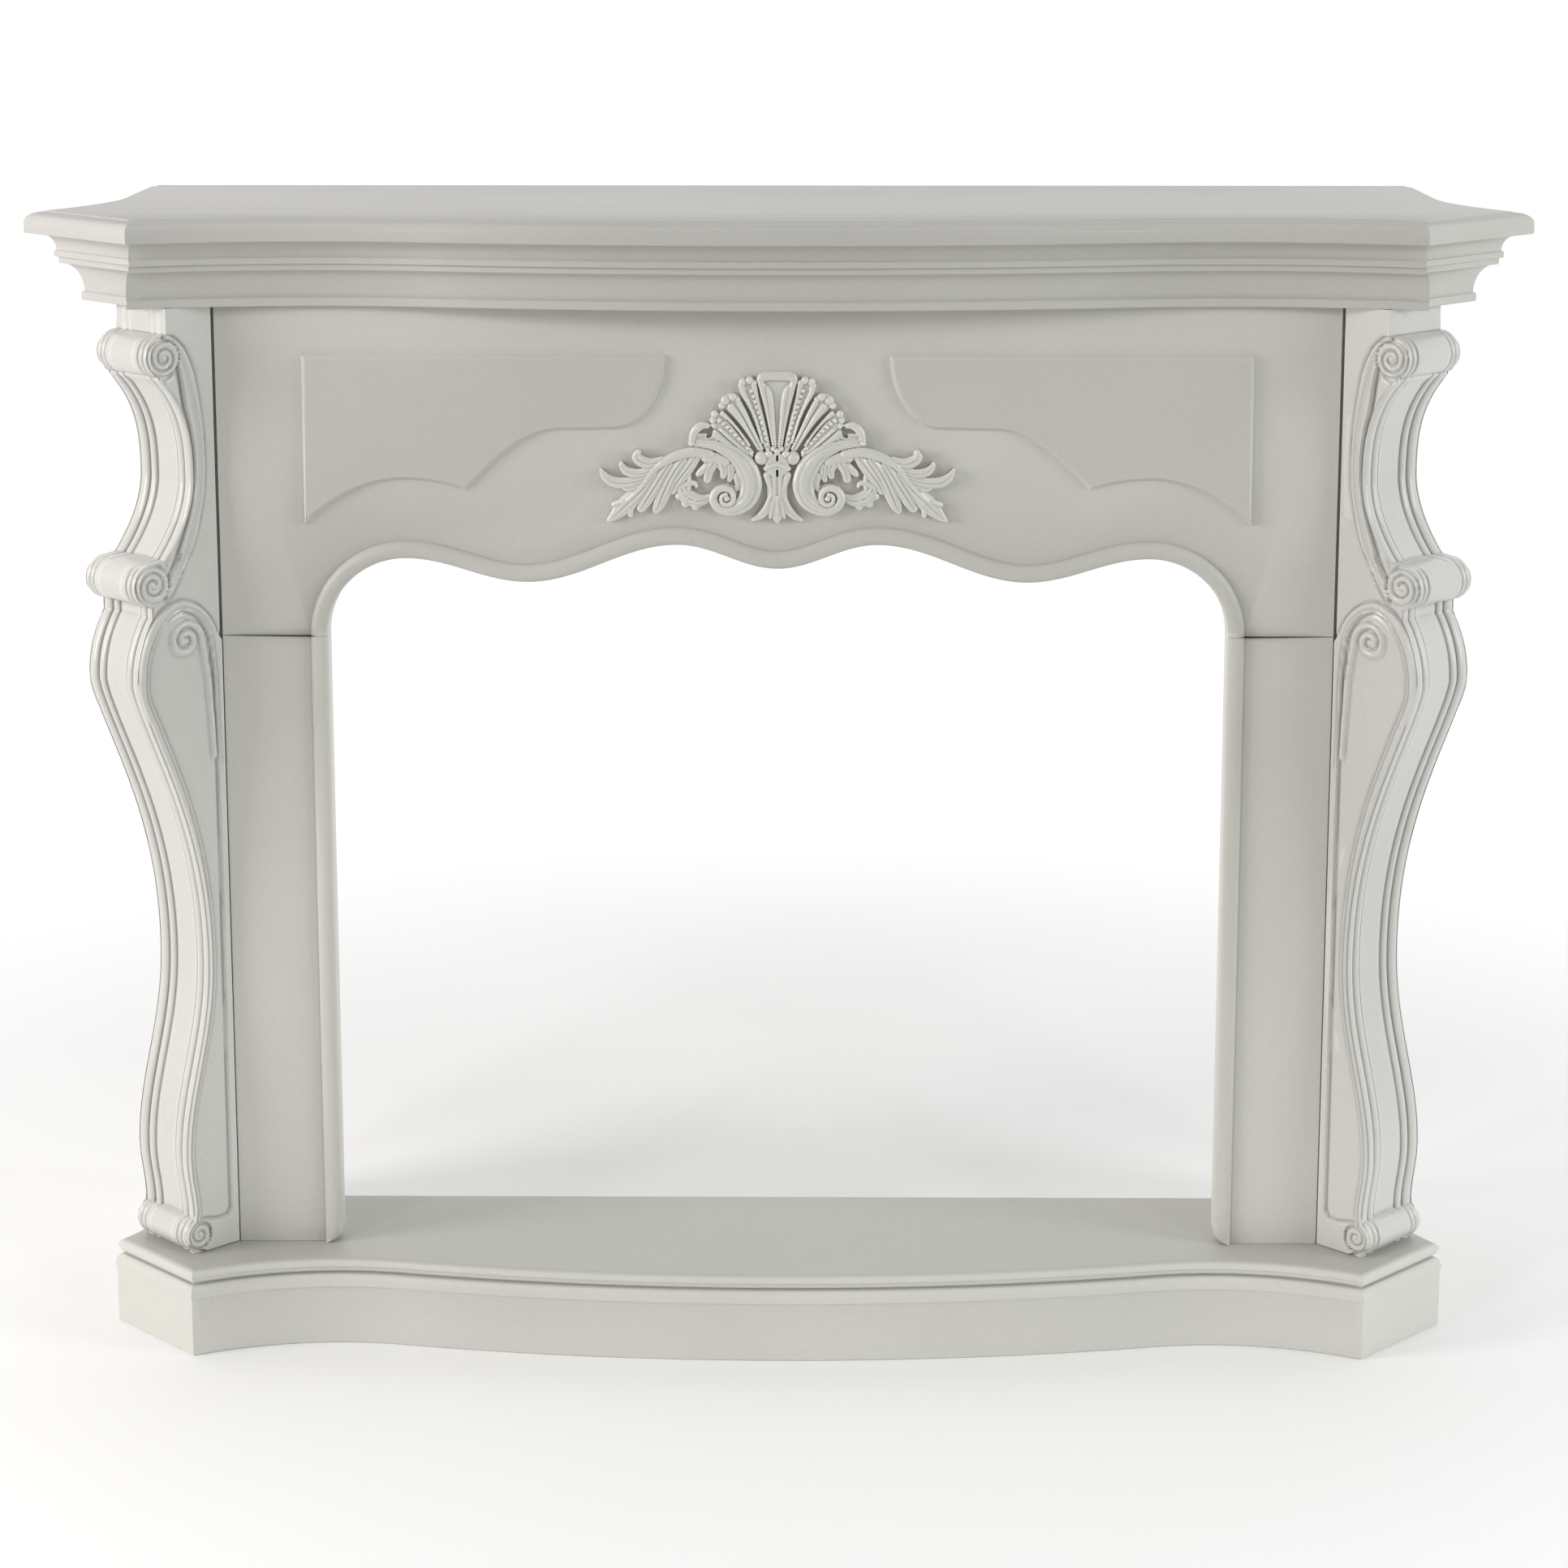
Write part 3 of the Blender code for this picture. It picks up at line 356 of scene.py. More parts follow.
def plan_outline(corner_out, ear_rise, ear_face, side_out, sweep, steps=CURVE_STEPS):
    """Half outline from the middle of the front, round the ear and back to the wall."""
    points = front_half(X_JAMB + corner_out, ear_rise, steps)
    x, y = points[-1]
    x_ear, y_ear = x + ear_face * math.sqrt(0.5), y + ear_face * math.sqrt(0.5)
    x_side = X_SIDE + side_out
    radius = ((x_ear - x_side) ** 2 + sweep ** 2) / (2 * (x_ear - x_side))
    points.append((x_ear, y_ear))
    for i in range(1, steps + 1):
        y = y_ear + sweep * i / steps
        left = y_ear + sweep - y
        points.append((x_side + radius - math.sqrt(radius ** 2 - left ** 2), y))
    points.append((x_side, Y_WALL))
    return points


def inset(points, d, corner=2.5):
    """Move an open half outline inwards by d, with mitres no longer than corner times d."""
    moved = []
    n = len(points)
    for i, (x, y) in enumerate(points):
        normals = []
        if i > 0:
            px, py = points[i - 1]
            length = math.hypot(x - px, y - py)
            normals.append((-(y - py) / length, (x - px) / length))
        if i < n - 1:
            qx, qy = points[i + 1]
            length = math.hypot(qx - x, qy - y)
            normals.append((-(qy - y) / length, (qx - x) / length))
        if i == 0:
            normals = [(0.0, 1.0)]
        if i == n - 1:
            normals = [(-1.0, 0.0)]
        a, b = normals[0], normals[-1]
        dot = a[0] * b[0] + a[1] * b[1]
        k = min(1 / (1 + dot), corner) if len(normals) == 2 else 0.5
        moved.append((x + d * k * (a[0] + b[0]), y + d * k * (a[1] + b[1])))
    # the moved side starts where it leaves the line of the moved ear, so it doesn't fold over there
    end = max(range(n), key=lambda i: points[i][0])
    ax, ay = moved[end - 1]
    side = moved[end:-1]
    stands = [ay + x - ax - y for x, y in side]
    last = max([0] + [i for i in range(1, len(side)) if stands[i] > 0])
    if last:
        u = stands[last] / (stands[last] - stands[last + 1])
        (px, py), (qx, qy) = side[last], side[last + 1]
        side = [(px + (qx - px) * u, py + (qy - py) * u)] + side[last + 1:]
    run = np.concatenate([[0.0], np.cumsum([math.dist(a, b) for a, b in zip(side, side[1:])])])
    even = np.linspace(0.0, run[-1], n - 1 - end)
    xs, ys = (np.interp(even, run, [q[k] for q in side]) for k in (0, 1))
    return moved[:end] + list(zip(map(float, xs), map(float, ys))) + moved[-1:]


def whole(half, z):
    """Closed outline at height z from its right half."""
    return [(-x, y, z) for x, y in reversed(half[1:])] + [(x, y, z) for x, y in half]


def arc(d0, z0, d1, z1, steps, hollow=True):
    """Quarter ellipse between two profile points, both ends included."""
    points = []
    for i in range(steps + 1):
        a = math.pi / 2 * i / steps
        if hollow:
            points.append((d0 + (d1 - d0) * (1 - math.cos(a)), z0 + (z1 - z0) * math.sin(a)))
        else:
            points.append((d0 + (d1 - d0) * math.sin(a), z0 + (z1 - z0) * (1 - math.cos(a))))
    return points


def slab(outline, profile, hollow=None):
    """Slab with a moulded edge, open at the back where hollow is (half width, front Y)."""
    solid = Solid()
    if hollow is None:
        return solid.loft([whole(inset(outline, d), z) for d, z in profile])
    inner_x, front_y = hollow
    rows = []
    for d, z in profile:
        outer = whole(inset(outline, d), z)
        inner = [(inner_x, Y_WALL, z), (inner_x, front_y, z), (-inner_x, front_y, z),
                 (-inner_x, Y_WALL, z)]
        rows.append(outer + inner)
    count = len(rows[0])
    solid.loft(rows, cap=False)
    n = count - 4
    for start, flip in ((0, False), ((len(rows) - 1) * count, True)):
        # the U is capped in three runs: left arm, front, right arm
        inner = [start + n + k for k in range(4)]
        ids = [start + k for k in range(n)]
        ys = [solid.verts[i][1] for i in ids]
        left_cut = next(k for k in range(n) if ys[k] < front_y)
        right_cut = n - 1 - next(k for k in range(n) if ys[n - 1 - k] < front_y)
        loops = [ids[:left_cut + 1] + [inner[2], inner[3]],
                 ids[left_cut:right_cut + 1] + [inner[1], inner[2]],
                 ids[right_cut:] + [inner[0], inner[1]]]
        for loop in loops:
            solid.faces.append(tuple(loop if flip else reversed(loop)))
    return solid


SHELF_PLAN = plan_outline(SHELF_CORNER_OUT, SHELF_EAR_RISE, SHELF_EAR_FACE, SHELF_SIDE, SHELF_SWEEP)
HEARTH_PLAN = plan_outline(HEARTH_CORNER_OUT, HEARTH_EAR_RISE, HEARTH_EAR_FACE, HEARTH_SIDE,
                           HEARTH_SWEEP)
PROFILE_SHARP = 24               # mouldings: edges over this many degrees stay sharp
BOARD_SHARP = 30
TRUSS_SHARP = 48
CARVING_SHARP = 62


def make_shelf():
    """Board with a rounded nosing and a fine sunk line where the round meets the top."""
    z_round = Z_TOP - NOSING_ROUND_H
    profile = [(CORNICE_SET * 0.8, Z_SHELF), (0.0014, Z_SHELF), (0.0004, Z_SHELF + 0.0005)]
    profile += [(0.0, Z_SHELF + 0.0014), (0.0, z_round - 0.0008)]
    profile += arc(0.0, z_round, NOSING_ROUND_W - 0.0012, Z_TOP - 0.0012, 12)
    profile += [(NOSING_ROUND_W - 0.0004, Z_TOP - 0.0015), (NOSING_ROUND_W + 0.0002, Z_TOP - 0.0013)]
    profile += [(NOSING_ROUND_W + 0.0008, Z_TOP - 0.0003), (NOSING_ROUND_W + 0.0016, Z_TOP)]
    s = slab(SHELF_PLAN, profile)
    return piece("shelf_board", s.verts, s.faces, "shelf_paint", "mantel_shelf", PROFILE_SHARP)


def make_cornice():
    """Ring of lip, deep cove, two fillets and upper cove, each edge eased by e."""
    d_fillet = CORNICE_SET + UPPER_COVE_D
    d_cove = d_fillet + FILLET_STEP
    d_lip = d_cove + COVE_D
    z_upper = Z_CORNICE_TOP - UPPER_COVE_H
    z_cove = z_upper - 2 * FILLET_H
    z_lip = Z_CORNICE + LIP_H
    e = 0.0007
    profile = [(d_lip - LIP_OUT + e, Z_CORNICE), (d_lip - LIP_OUT, Z_CORNICE + e)]
    profile += [(d_lip - LIP_OUT, z_lip - e), (d_lip - LIP_OUT + e, z_lip), (d_lip - 0.0003, z_lip + 0.0003)]
    profile += arc(d_lip, z_lip + 0.0008, d_cove + 0.002, z_cove, 16)
    profile += [(d_cove + e, z_cove), (d_cove, z_cove + e), (d_cove, z_upper - FILLET_H - e)]
    profile += [(d_cove - e, z_upper - FILLET_H), (d_fillet + e, z_upper - FILLET_H)]
    profile += [(d_fillet, z_upper - FILLET_H + e), (d_fillet, z_upper - e), (d_fillet + e, z_upper)]
    profile += [(d_fillet + 0.0018, z_upper + 0.0004)]
    profile += arc(d_fillet + 0.002, z_upper + 0.001, CORNICE_SET, Z_CORNICE_TOP, 12)
    hollow = (X_SIDE - SIDE_T - CORNICE_BACK, Y_FACE + BOARD_T + CORNICE_BACK)
    s = slab(SHELF_PLAN, profile, hollow)
    return piece("cornice_moulding", s.verts, s.faces, "moulding_paint", "cornice", PROFILE_SHARP)


def make_hearth():
    """Block with a hollow, an ovolo and a rounded top edge, cut out round the chimney breast."""
    z_block = HEARTH_H - HEARTH_EDGE_H
    z_ovolo = z_block + 0.46 * HEARTH_EDGE_H
    z_round = HEARTH_H - 0.26 * HEARTH_EDGE_H
    profile = [(0.0026, 0.0), (0.0014, 0.0012), (0.0012, 0.003), (0.0012, z_block - 0.0006)]
    profile += [(0.0009, z_block), (0.0003, z_block + 0.0002)]
    profile += arc(0.0, z_block + 0.0010, 0.0075, z_ovolo, 14)
    profile += [(0.0083, z_ovolo + 0.0003), (0.0086, z_ovolo + 0.0010)]
    profile += arc(0.0085, z_ovolo + 0.0014, 0.0040, z_round - 0.001, 10, hollow=False)
    profile += [(0.0034, z_round - 0.0008), (0.0027, z_round - 0.0003)]
    profile += arc(0.0025, z_round + 0.0002, 0.0115, HEARTH_H, 12)
    hollow = (X_SIDE + HEARTH_SIDE - HEARTH_TONGUE, Y_FACE + HEARTH_NOTCH_FRONT)
    s = slab(HEARTH_PLAN, profile, hollow)
    return piece("hearth_slab", s.verts, s.faces, "hearth_paint", "hearth", PROFILE_SHARP)


# Front boards

def arch_edge():
    """Lower edge of the frieze from the centre line to the opening's side, as (x, rise)."""
    x_crown = OPENING_HALF - SIDE_ARCH_W
    x_dip = OPENING_HALF - DIP_FROM_SIDE
    knots = [(0.0, MID_DIP_RISE), (MID_ARCH_X, MID_ARCH_RISE), (x_dip, DIP_RISE), (x_crown, SIDE_ARCH_RISE)]
    points = []
    wave, turn = 26, 28
    for (xa, ra), (xb, rb) in zip(knots, knots[1:]):
        for i in range(wave):
            u = i / wave
            points.append((xa + (xb - xa) * u, ra + (rb - ra) * (1 - math.cos(math.pi * u)) / 2))
    for i in range(turn + 1):
        a = math.pi / 2 * i / turn
        points.append((x_crown + SIDE_ARCH_W * math.sin(a), SIDE_ARCH_RISE * math.cos(a)))
    return points


def bead_section(steps=16):
    """Bead across the edge of a board: (distance in from the edge, Y from the board's face)."""
    section = [(0.0, BOARD_T), (0.0, 0.35 * BOARD_T)]
    for i in range(steps + 1):
        a = math.pi * (0.03 + 0.93 * i / steps)
        section.append((BEAD_W * (1 - math.cos(a)) / 2, -BEAD_RISE * math.sin(a)))
    section += [(BEAD_W + 0.0004, 0.0004), (BEAD_W + 0.0014, 0.0004), (BEAD_W + 0.0022, 0.0)]
    return section


def offset_edge(points, d):
    """Move the frieze's lower edge up into the board by d; its ends stay on the joint line."""
    moved = []
    n = len(points)
    for i, (x, z) in enumerate(points):
        ax, az = points[max(i - 1, 0)]
        bx, bz = points[min(i + 1, n - 1)]
        if i == 0:
            tx, tz = 1.0, 0.0
        elif i == n - 1:
            tx, tz = 0.0, -1.0
        else:
            tx, tz = bx - ax, bz - az
        length = math.hypot(tx, tz)
        moved.append((x - d * tz / length, z + d * tx / length))
    return moved


def field_outline(side):
    """Outline of one raised field."""
    top = Z_FRIEZE_TOP - FIELD_TOP_DROP
    x_out = X_JAMB - FIELD_SIDE
    points = [(x_out, top), (FIELD_IN_X, top)]
    cove, fall, crown, tip = 20, 24, 14, 16
    for i in range(1, cove + 1):
        a = math.pi / 2 * i / cove
        points.append((FIELD_IN_X + FIELD_COVE_W * (1 - math.cos(a)), top - FIELD_COVE_H * math.sin(a)))
    x_flat = FIELD_IN_X + FIELD_COVE_W + FIELD_FLAT
    z_flat = top - FIELD_COVE_H - 0.1 * FIELD_CROWN_UP
    for i in range(fall + 1):
        u = i / fall
        drop = FIELD_CUSP_DROP * (1 - math.sin(math.pi / 2 * (1 - u)))
        points.append((x_flat + FIELD_CUSP_W * u, z_flat - drop))
    x_cusp, z_cusp = points[-1]
    x_crown, z_crown = x_cusp + FIELD_CROWN_W, z_cusp + FIELD_CROWN_UP
    for i in range(1, crown + 1):
        u = 1 - i / crown
        points.append((x_crown - FIELD_CROWN_W * u, z_crown - FIELD_CROWN_UP * u * u))
    for i in range(1, tip + 1):
        u = i / tip
        points.append((x_crown + (x_out - x_crown) * u, z_crown - FIELD_TIP_DROP * u * u))
    return [(side * x, z) for x, z in points]


def inset_closed(points, d):
    """Move a closed outline inwards by d with mitred corners."""
    area = sum(a[0] * b[1] - b[0] * a[1] for a, b in zip(points, points[1:] + points[:1]))
    turn = 1 if area > 0 else -1
    moved = []
    n = len(points)
    for i in range(n):
        p, q, r = Vector(points[i - 1]), Vector(points[i]), Vector(points[(i + 1) % n])
        a, b = (q - p).normalized(), (r - q).normalized()
        na, nb = Vector((-a.y, a.x)) * turn, Vector((-b.y, b.x)) * turn
        k = min(1 / (1 + na.dot(nb)), 1.3)
        moved.append(tuple(q + (na + nb) * (d * k)))
    return moved


# bevel of a raised field: (distance in from its outline, Y from the board's face)
FIELD_STEPS = [(0.0, 0.002), (0.0, -0.12 * FIELD_RISE), (0.0007, -0.30 * FIELD_RISE),
               (0.0030, -0.86 * FIELD_RISE), (0.0035, -0.96 * FIELD_RISE), (FIELD_BEVEL, -FIELD_RISE),
               (FIELD_BEVEL + 0.0014, -FIELD_RISE)]


def make_frieze():
    """Board over the opening, with its bead and the two raised fields worked on it."""
    half = arch_edge()
    s = Solid()
    rings = []
    for d, y in bead_section():
        edge = offset_edge(half, d)
        yy = Y_FACE + y
        flat = max(yy, Y_FACE)
        row = [(-X_JAMB, flat, Z_FRIEZE), (-X_JAMB, flat, Z_FRIEZE_TOP)]
        row += [(X_JAMB, flat, Z_FRIEZE_TOP), (X_JAMB, flat, Z_FRIEZE)]
        row += [(x, yy, Z_FRIEZE + z) for x, z in reversed(edge)]
        row += [(-x, yy, Z_FRIEZE + z) for x, z in edge[1:]]
        rings.append(row)
    s.loft(rings)
    for side in (-1, 1):
        outline = field_outline(side)
        s.loft([[(x, Y_FACE + y, z) for x, z in inset_closed(outline, d)] for d, y in FIELD_STEPS])
    return piece("frieze_board", s.verts, s.faces, "board_paint", "frieze", BOARD_SHARP)


def make_jamb(name, side):
    """Upright board; its bead is rounded off at the foot and the joint above is eased."""
    s = Solid()
    levels = [0.0, 0.03, 0.1, 0.2, 0.32, 0.46, 0.62, 0.8, 1.0]
    heights = [Z_JAMB + BEAD_FOOT * u for u in levels] + [Z_JOINT - 0.0012, Z_JOINT]
    rings = []
    for z in heights:
        rise = min(z - Z_JAMB, BEAD_FOOT)
        back = BEAD_FOOT - math.sqrt(max(BEAD_FOOT ** 2 - (BEAD_FOOT - rise) ** 2, 0.0))
        scale = 1 - back / BEAD_W
        ease = 0.0011 if z == Z_JOINT else 0.0
        row = [(side * X_JAMB, Y_FACE + ease, z), (side * X_JAMB, Y_FACE + BOARD_T, z)]
        for d, y in bead_section():
            keep = scale if d < BEAD_W else 1.0
            x = OPENING_HALF + BEAD_W - (BEAD_W - d) * keep
            row.append((side * x, Y_FACE + y + (ease if y < 0.3 * BOARD_T else 0), z))
        rings.append(row)
    s.loft(rings)
    return piece(name + "_board", s.verts, s.faces, "board_paint", name, BOARD_SHARP)


# Trusses

def blend(u):
    """Soft rise from 0 to 1 as u goes from 0 to 1."""
    return (1 - np.cos(np.pi * np.clip(u, 0.0, 1.0))) / 2


# heights on a truss as shares of its own height
MARK = {"foot": 0.020, "ankle": 0.042, "shin": 0.105, "waist": 0.320, "belly": 0.618, "brow": 0.686,
        "lower": 0.7205, "neck": 0.825, "upper": 0.952, "abacus": 0.9736}
NECK_FALL = 0.0728               # shares of the height in which the neck widens below and above
NECK_RISE = 0.1036
SCROLLS = ((MARK["lower"], LOWER_SCROLL_D, LOWER_SCROLL_R),
           (MARK["upper"], UPPER_SCROLL_D, UPPER_SCROLL_R),
           (MARK["foot"], FOOT_SCROLL_D, FOOT_SCROLL_R))


def truss_front(v):
    """Depth of the truss at the share v of its height, from the foot (0) to the abacus (1)."""
    z = v * TRUSS_H
    if v < MARK["ankle"]:
        s = 0.90 * SHIN_D
    elif v < MARK["shin"]:
        s = SHIN_D * (0.90 + 0.10 * blend((v - MARK["ankle"]) / (MARK["shin"] - MARK["ankle"])))
    elif v < MARK["waist"]:
        u = ((MARK["waist"] - v) / (MARK["waist"] - MARK["shin"])) ** 1.1
        s = WAIST_D + (SHIN_D - WAIST_D) * blend(u)
    elif v < MARK["belly"]:
        u = ((MARK["belly"] - v) / (MARK["belly"] - MARK["waist"])) ** 0.66
        s = WAIST_D + (BELLY_D - WAIST_D) * blend(1 - u)
    elif v < MARK["lower"]:
        u = (v - MARK["belly"]) / (MARK["brow"] - MARK["belly"])
        s = BELLY_D - 0.20 * BELLY_D * u ** 2.2 if u < 1 else 0.80 * BELLY_D
    elif v < MARK["neck"]:
        u = (MARK["neck"] - v) / NECK_FALL
        s = NECK_D + 0.028 * u ** 1.9
    elif v < MARK["upper"]:
        u = (v - MARK["neck"]) / NECK_RISE
        s = NECK_D + 0.034 * min(u, 1.0) ** 2.8
    elif v < MARK["abacus"]:
        s = 0.95 * ABACUS_D
    else:
        return ABACUS_D
    for mark, depth, radius in SCROLLS:
        dz = z - mark * TRUSS_H
        if abs(dz) < radius:
            s = max(s, depth + math.sqrt(radius ** 2 - dz ** 2))
    return float(s)


def truss_levels():
    """Heights above the hearth at which the truss is drawn, closer round the scrolls."""
    h = TRUSS_H
    stretches = ((0.0, 0.110, 0.0023), (0.110, 0.560, 0.0035), (0.560, 0.640, 0.0023), (0.640, h, 0.00145))
    levels = [z for start, end, step in stretches for z in np.arange(start, end, step)]
    for mark, _, radius in SCROLLS:
        for a in range(0, 181, 5):
            z = mark * h + radius * math.cos(math.radians(a))
            if 0 < z < h:
                levels.append(z)
    # a pair of close levels at each step of the outline
    jumps = [MARK["abacus"] * h, MARK["lower"] * h - LOWER_SCROLL_R, MARK["upper"] * h - UPPER_SCROLL_R,
             MARK["foot"] * h + FOOT_SCROLL_R]
    clear, pair, least = 0.0004, 0.00015, 0.00025
    keep = [z for z in levels if all(abs(z - j) > clear for j in jumps)]
    for j in jumps:
        keep += [j - pair, j + pair]
    keep = sorted(keep + [clear, h - clear, h])
    out = [keep[0]]
    for z in keep[1:]:
        if z - out[-1] > least:
            out.append(z)
    return out


def rounded(u):
    """How far a quarter round has fallen at the share u of its width."""
    return 1 - np.sqrt(np.clip(1 - u * u, 0, 1))


def shaft_sink(te):
    """Bead, fillet, reed, channel and flat of the shaft's front: depth in mm, te mm from the nearer side."""
    bead = 0.3 + np.where(te < 5.75, 1.3, 3.4) * rounded((te - 5.75) / 5.75)
    reed = 1.6 + 2.6 * rounded((te - 18.75) / 4.75)
    return np.select([te < 11.5, te < 14.0, te < 23.5, te < 26.0], [bead, 4.8, reed, 5.0], 4.4)


def drum_sink(te):
    """Two beads with grooves beside them, then the plain middle of a scroll's drum."""
    outer = 0.4 + 1.6 * rounded((te - 3.25) / 3.25)
    inner = 0.2 + 1.7 * rounded((te - 10.5) / 3.0)
    middle = 0.5 * np.clip((19.5 - te) / 4, 0, 1) ** 2
    return np.select([te < 6.5, te < 7.5, te < 13.5, te < 15.5], [outer, 2.2, inner, 2.6], middle)


def edge_distance(px, pz, path, closed=True):
    """Distance in mm from points to a path, and which points lie inside it."""
    best = np.full(px.shape, 1e9)
    inside = np.zeros(px.shape, bool)
    pairs = list(zip(path, path[1:] + path[:1])) if closed else list(zip(path, path[1:]))
    for (ax, az), (bx, bz) in pairs:
        dx, dz = bx - ax, bz - az
        u = np.clip(((px - ax) * dx + (pz - az) * dz) / max(dx * dx + dz * dz, 1e-9), 0, 1)
        best = np.minimum(best, (px - ax - u * dx) ** 2 + (pz - az - u * dz) ** 2)
        if closed and az != bz:
            cross = ((az > pz) != (bz > pz)) & (px < (bx - ax) * (pz - az) / (bz - az) + ax)
            inside ^= cross
    return np.sqrt(best), inside


def soft(x, width=1.0):
    """Smooth step from 0 to 1 as x goes from -width/2 to width/2."""
    u = np.clip(x / width + 0.5, 0, 1)
    return u * u * (3 - 2 * u)


def curve(knots, steps=6):
    """Smooth curve through knots of any number of values."""
    k = np.array(knots, float)
    ends = np.vstack([2 * k[0] - k[1], k, 2 * k[-1] - k[-2]])
    rows = []
    for i in range(len(k) - 1):
        p0, p1, p2, p3 = ends[i:i + 4]
        for u in np.linspace(0, 1, steps, endpoint=False):
            rows.append(0.5 * (2 * p1 + (p2 - p0) * u + (2 * p0 - 5 * p1 + 4 * p2 - p3) * u ** 2
                               + (3 * p1 - p0 - 3 * p2 + p3) * u ** 3))
    rows.append(k[-1])
    return np.array(rows)


def smooth(knots):
    """Points of the smooth curve as a path."""
    return [tuple(p) for p in curve(knots)]


def signed(px, pz, path):
    """Distance to a closed path, positive inside it."""
    d, inside = edge_distance(px, pz, path)
    return np.where(inside, d, -d)


def spiral(cx, cz, r0, r1, start, turns, steps=90):
    """Path from radius r0 to r1, from the angle start in degrees."""
    rows = []
    for i in range(steps + 1):
        u = i / steps
        r = r0 + (r1 - r0) * u ** 0.9
        a = math.radians(start + 360 * turns * u)
        rows.append((cx + r * math.cos(a), cz + r * math.sin(a)))
    return rows


# Paths on a truss's side in mm: from its back, over the floor
NECK_OUTER = [(56, 1041), (50.7, 1040), (39.4, 1032), (31.8, 1022), (23.4, 1002), (17.8, 973), (14.2, 945),
              (13, 917), (13.8, 889), (18, 865.5), (25, 839), (34, 819), (43.7, 802.5), (53.4, 786),
              (62, 775)]
NECK_INNER = [(56, 1034), (47.2, 1028.5), (42.5, 1014), (37.9, 995), (34.3, 969), (28.8, 947.5), (25, 919),
              (25.5, 891), (30.6, 864), (39.5, 838.5), (49.3, 815), (58, 799), (60, 790), (64, 781)]
LEG_PANEL_TOP = [(82.8, 671), (87, 686), (86.4, 707), (81.6, 727), (72.5, 744), (61, 757), (45, 763.5),
                 (29, 757), (17.5, 743), (12.0, 724), (9.5, 697), (8.3, 660), (7.6, 600)]
LEG_PANEL_FOOT = [(7.4, 130.0), (12, 122), (24, 121)]
LEG_OUTER_TOP = [(94.4, 671), (98.4, 686), (98.6, 700), (96.8, 716), (92, 733), (83, 751), (68, 767),
                 (46, 774), (25, 766), (10, 750), (3, 735), (-6, 724)]
LEG_SCROLL = (42, 733)
LEG_BAND = [(11.5, 610), (13.0, 650), (15.5, 690), (19.5, 715)]
LEAF = [(45, 1004), (40.5, 985), (38.5, 966), (47.5, 980), (58.0, 993), (50, 999)]
# discs of the three scrolls: centre, radius, where the groove starts in degrees, its turns
DISCS = ((58.0, 1018.0, 17.5, 110, -1.8), (79.0, 793.2, 18.5, -110, 1.8), (48.0, 110.0, 13.5, -160, -1.4))
RELIEF_MOST = 3.6                # the carving stands out and is sunk no more than this
RELIEF_LEAST = -1.8


def share(z):
    """Share of the truss's height at z mm over the floor."""
    return (z - Z_JAMB * 1000) / (TRUSS_H * 1000)


def raised(r, form):
    """The relief r with a form on it; where the form has no height, r stays as it is."""
    return np.where(form > 0, np.maximum(r, form), r)


def dome(distance, radius, height):
    """Height of a round ridge at a distance from its middle."""
    return height * np.sqrt(np.clip(1 - (distance / radius) ** 2, 0, 1))


def groove(x, middle, width, depth=1.0):
    """Depth at x of a soft groove."""
    return depth * np.exp(-((x - middle) / width) ** 2)


def neck_relief(s, z, d, neck, band):
    """Band round the neck, hollow along its middle, and the bead along the neck's front."""
    sd = signed(s, z, band)
    sides = zip(curve(NECK_OUTER[:len(NECK_INNER)]), curve(NECK_INNER))
    line, _ = edge_distance(s, z, [((a[0] + b[0]) / 2, (a[1] + b[1]) / 2) for a, b in sides], False)
    r = raised(np.zeros_like(s), 3.5 * soft(sd - 0.4, 2.0) - 1.1 * soft(2.6 - line, 3.0))
    return raised(r - groove(sd, -1.8, 1.5, 1.5), neck * dome(d - 1.6, 2.3, 1.7))


def leg_relief(r, s, z):
    """Raised border with a fine line, round the leg's sunk panel."""
    levels = list(np.arange(102, 655, 8.0))
    fronts = [truss_front(share(a)) * 1000 for a in levels]
    wide = [8.2 + 4.3 * float(blend((a - 430) / 190)) for a in levels]
    inner = [(f - w, a) for f, w, a in zip(fronts, wide, levels)][3:] + smooth(LEG_PANEL_TOP)
    panel = LEG_PANEL_FOOT + inner + [(7.4, 560.0)]
    front = [(f - 1.2, a) for f, a in zip(fronts, levels)]
    border = [(-6, 90.0), (40, 90.0)] + front + smooth(LEG_OUTER_TOP)
    sd = np.minimum(signed(s, z, border), -signed(s, z, panel))
    r = raised(r, 3.2 * soft(sd - 0.4, 1.8)) - groove(sd, -1.7, 1.4, 1.2)
    line, _ = edge_distance(s, z, inner, False)
    return r - 1.3 * soft(1.2 - np.abs(line - 3.6), 1.6) * (sd > 0)


def scroll_relief(r, s, z):
    """Scroll at the top of the leg, its band down the back border, and the discs of the three scrolls."""
    line, _ = edge_distance(s, z, LEG_BAND + spiral(*LEG_SCROLL, 20.0, 4.5, 188, -1.6), False)
    r = raised(r, dome(line, 3.3, 3.0))
    r = raised(r, dome(np.hypot(s - LEG_SCROLL[0], z - LEG_SCROLL[1]), 3.6, 3.2))
    for cx, cz, rad, start, turns in DISCS:
        dist = np.hypot(s - cx, z - cz)
        line, _ = edge_distance(s, z, spiral(cx, cz, rad * 0.98, rad * 0.22, start, turns), False)
        disc = 3.1 * soft(rad - dist - 0.2, 1.8) - 2.1 * soft(1.25 - line, 1.5) * (dist < rad + 1)
        disc = np.where(dist < rad * 0.2, dome(dist, rad * 0.26, 3.4), disc)
        r = np.where(dist < rad + 0.6, np.maximum(disc, 0.0), r)
    return r


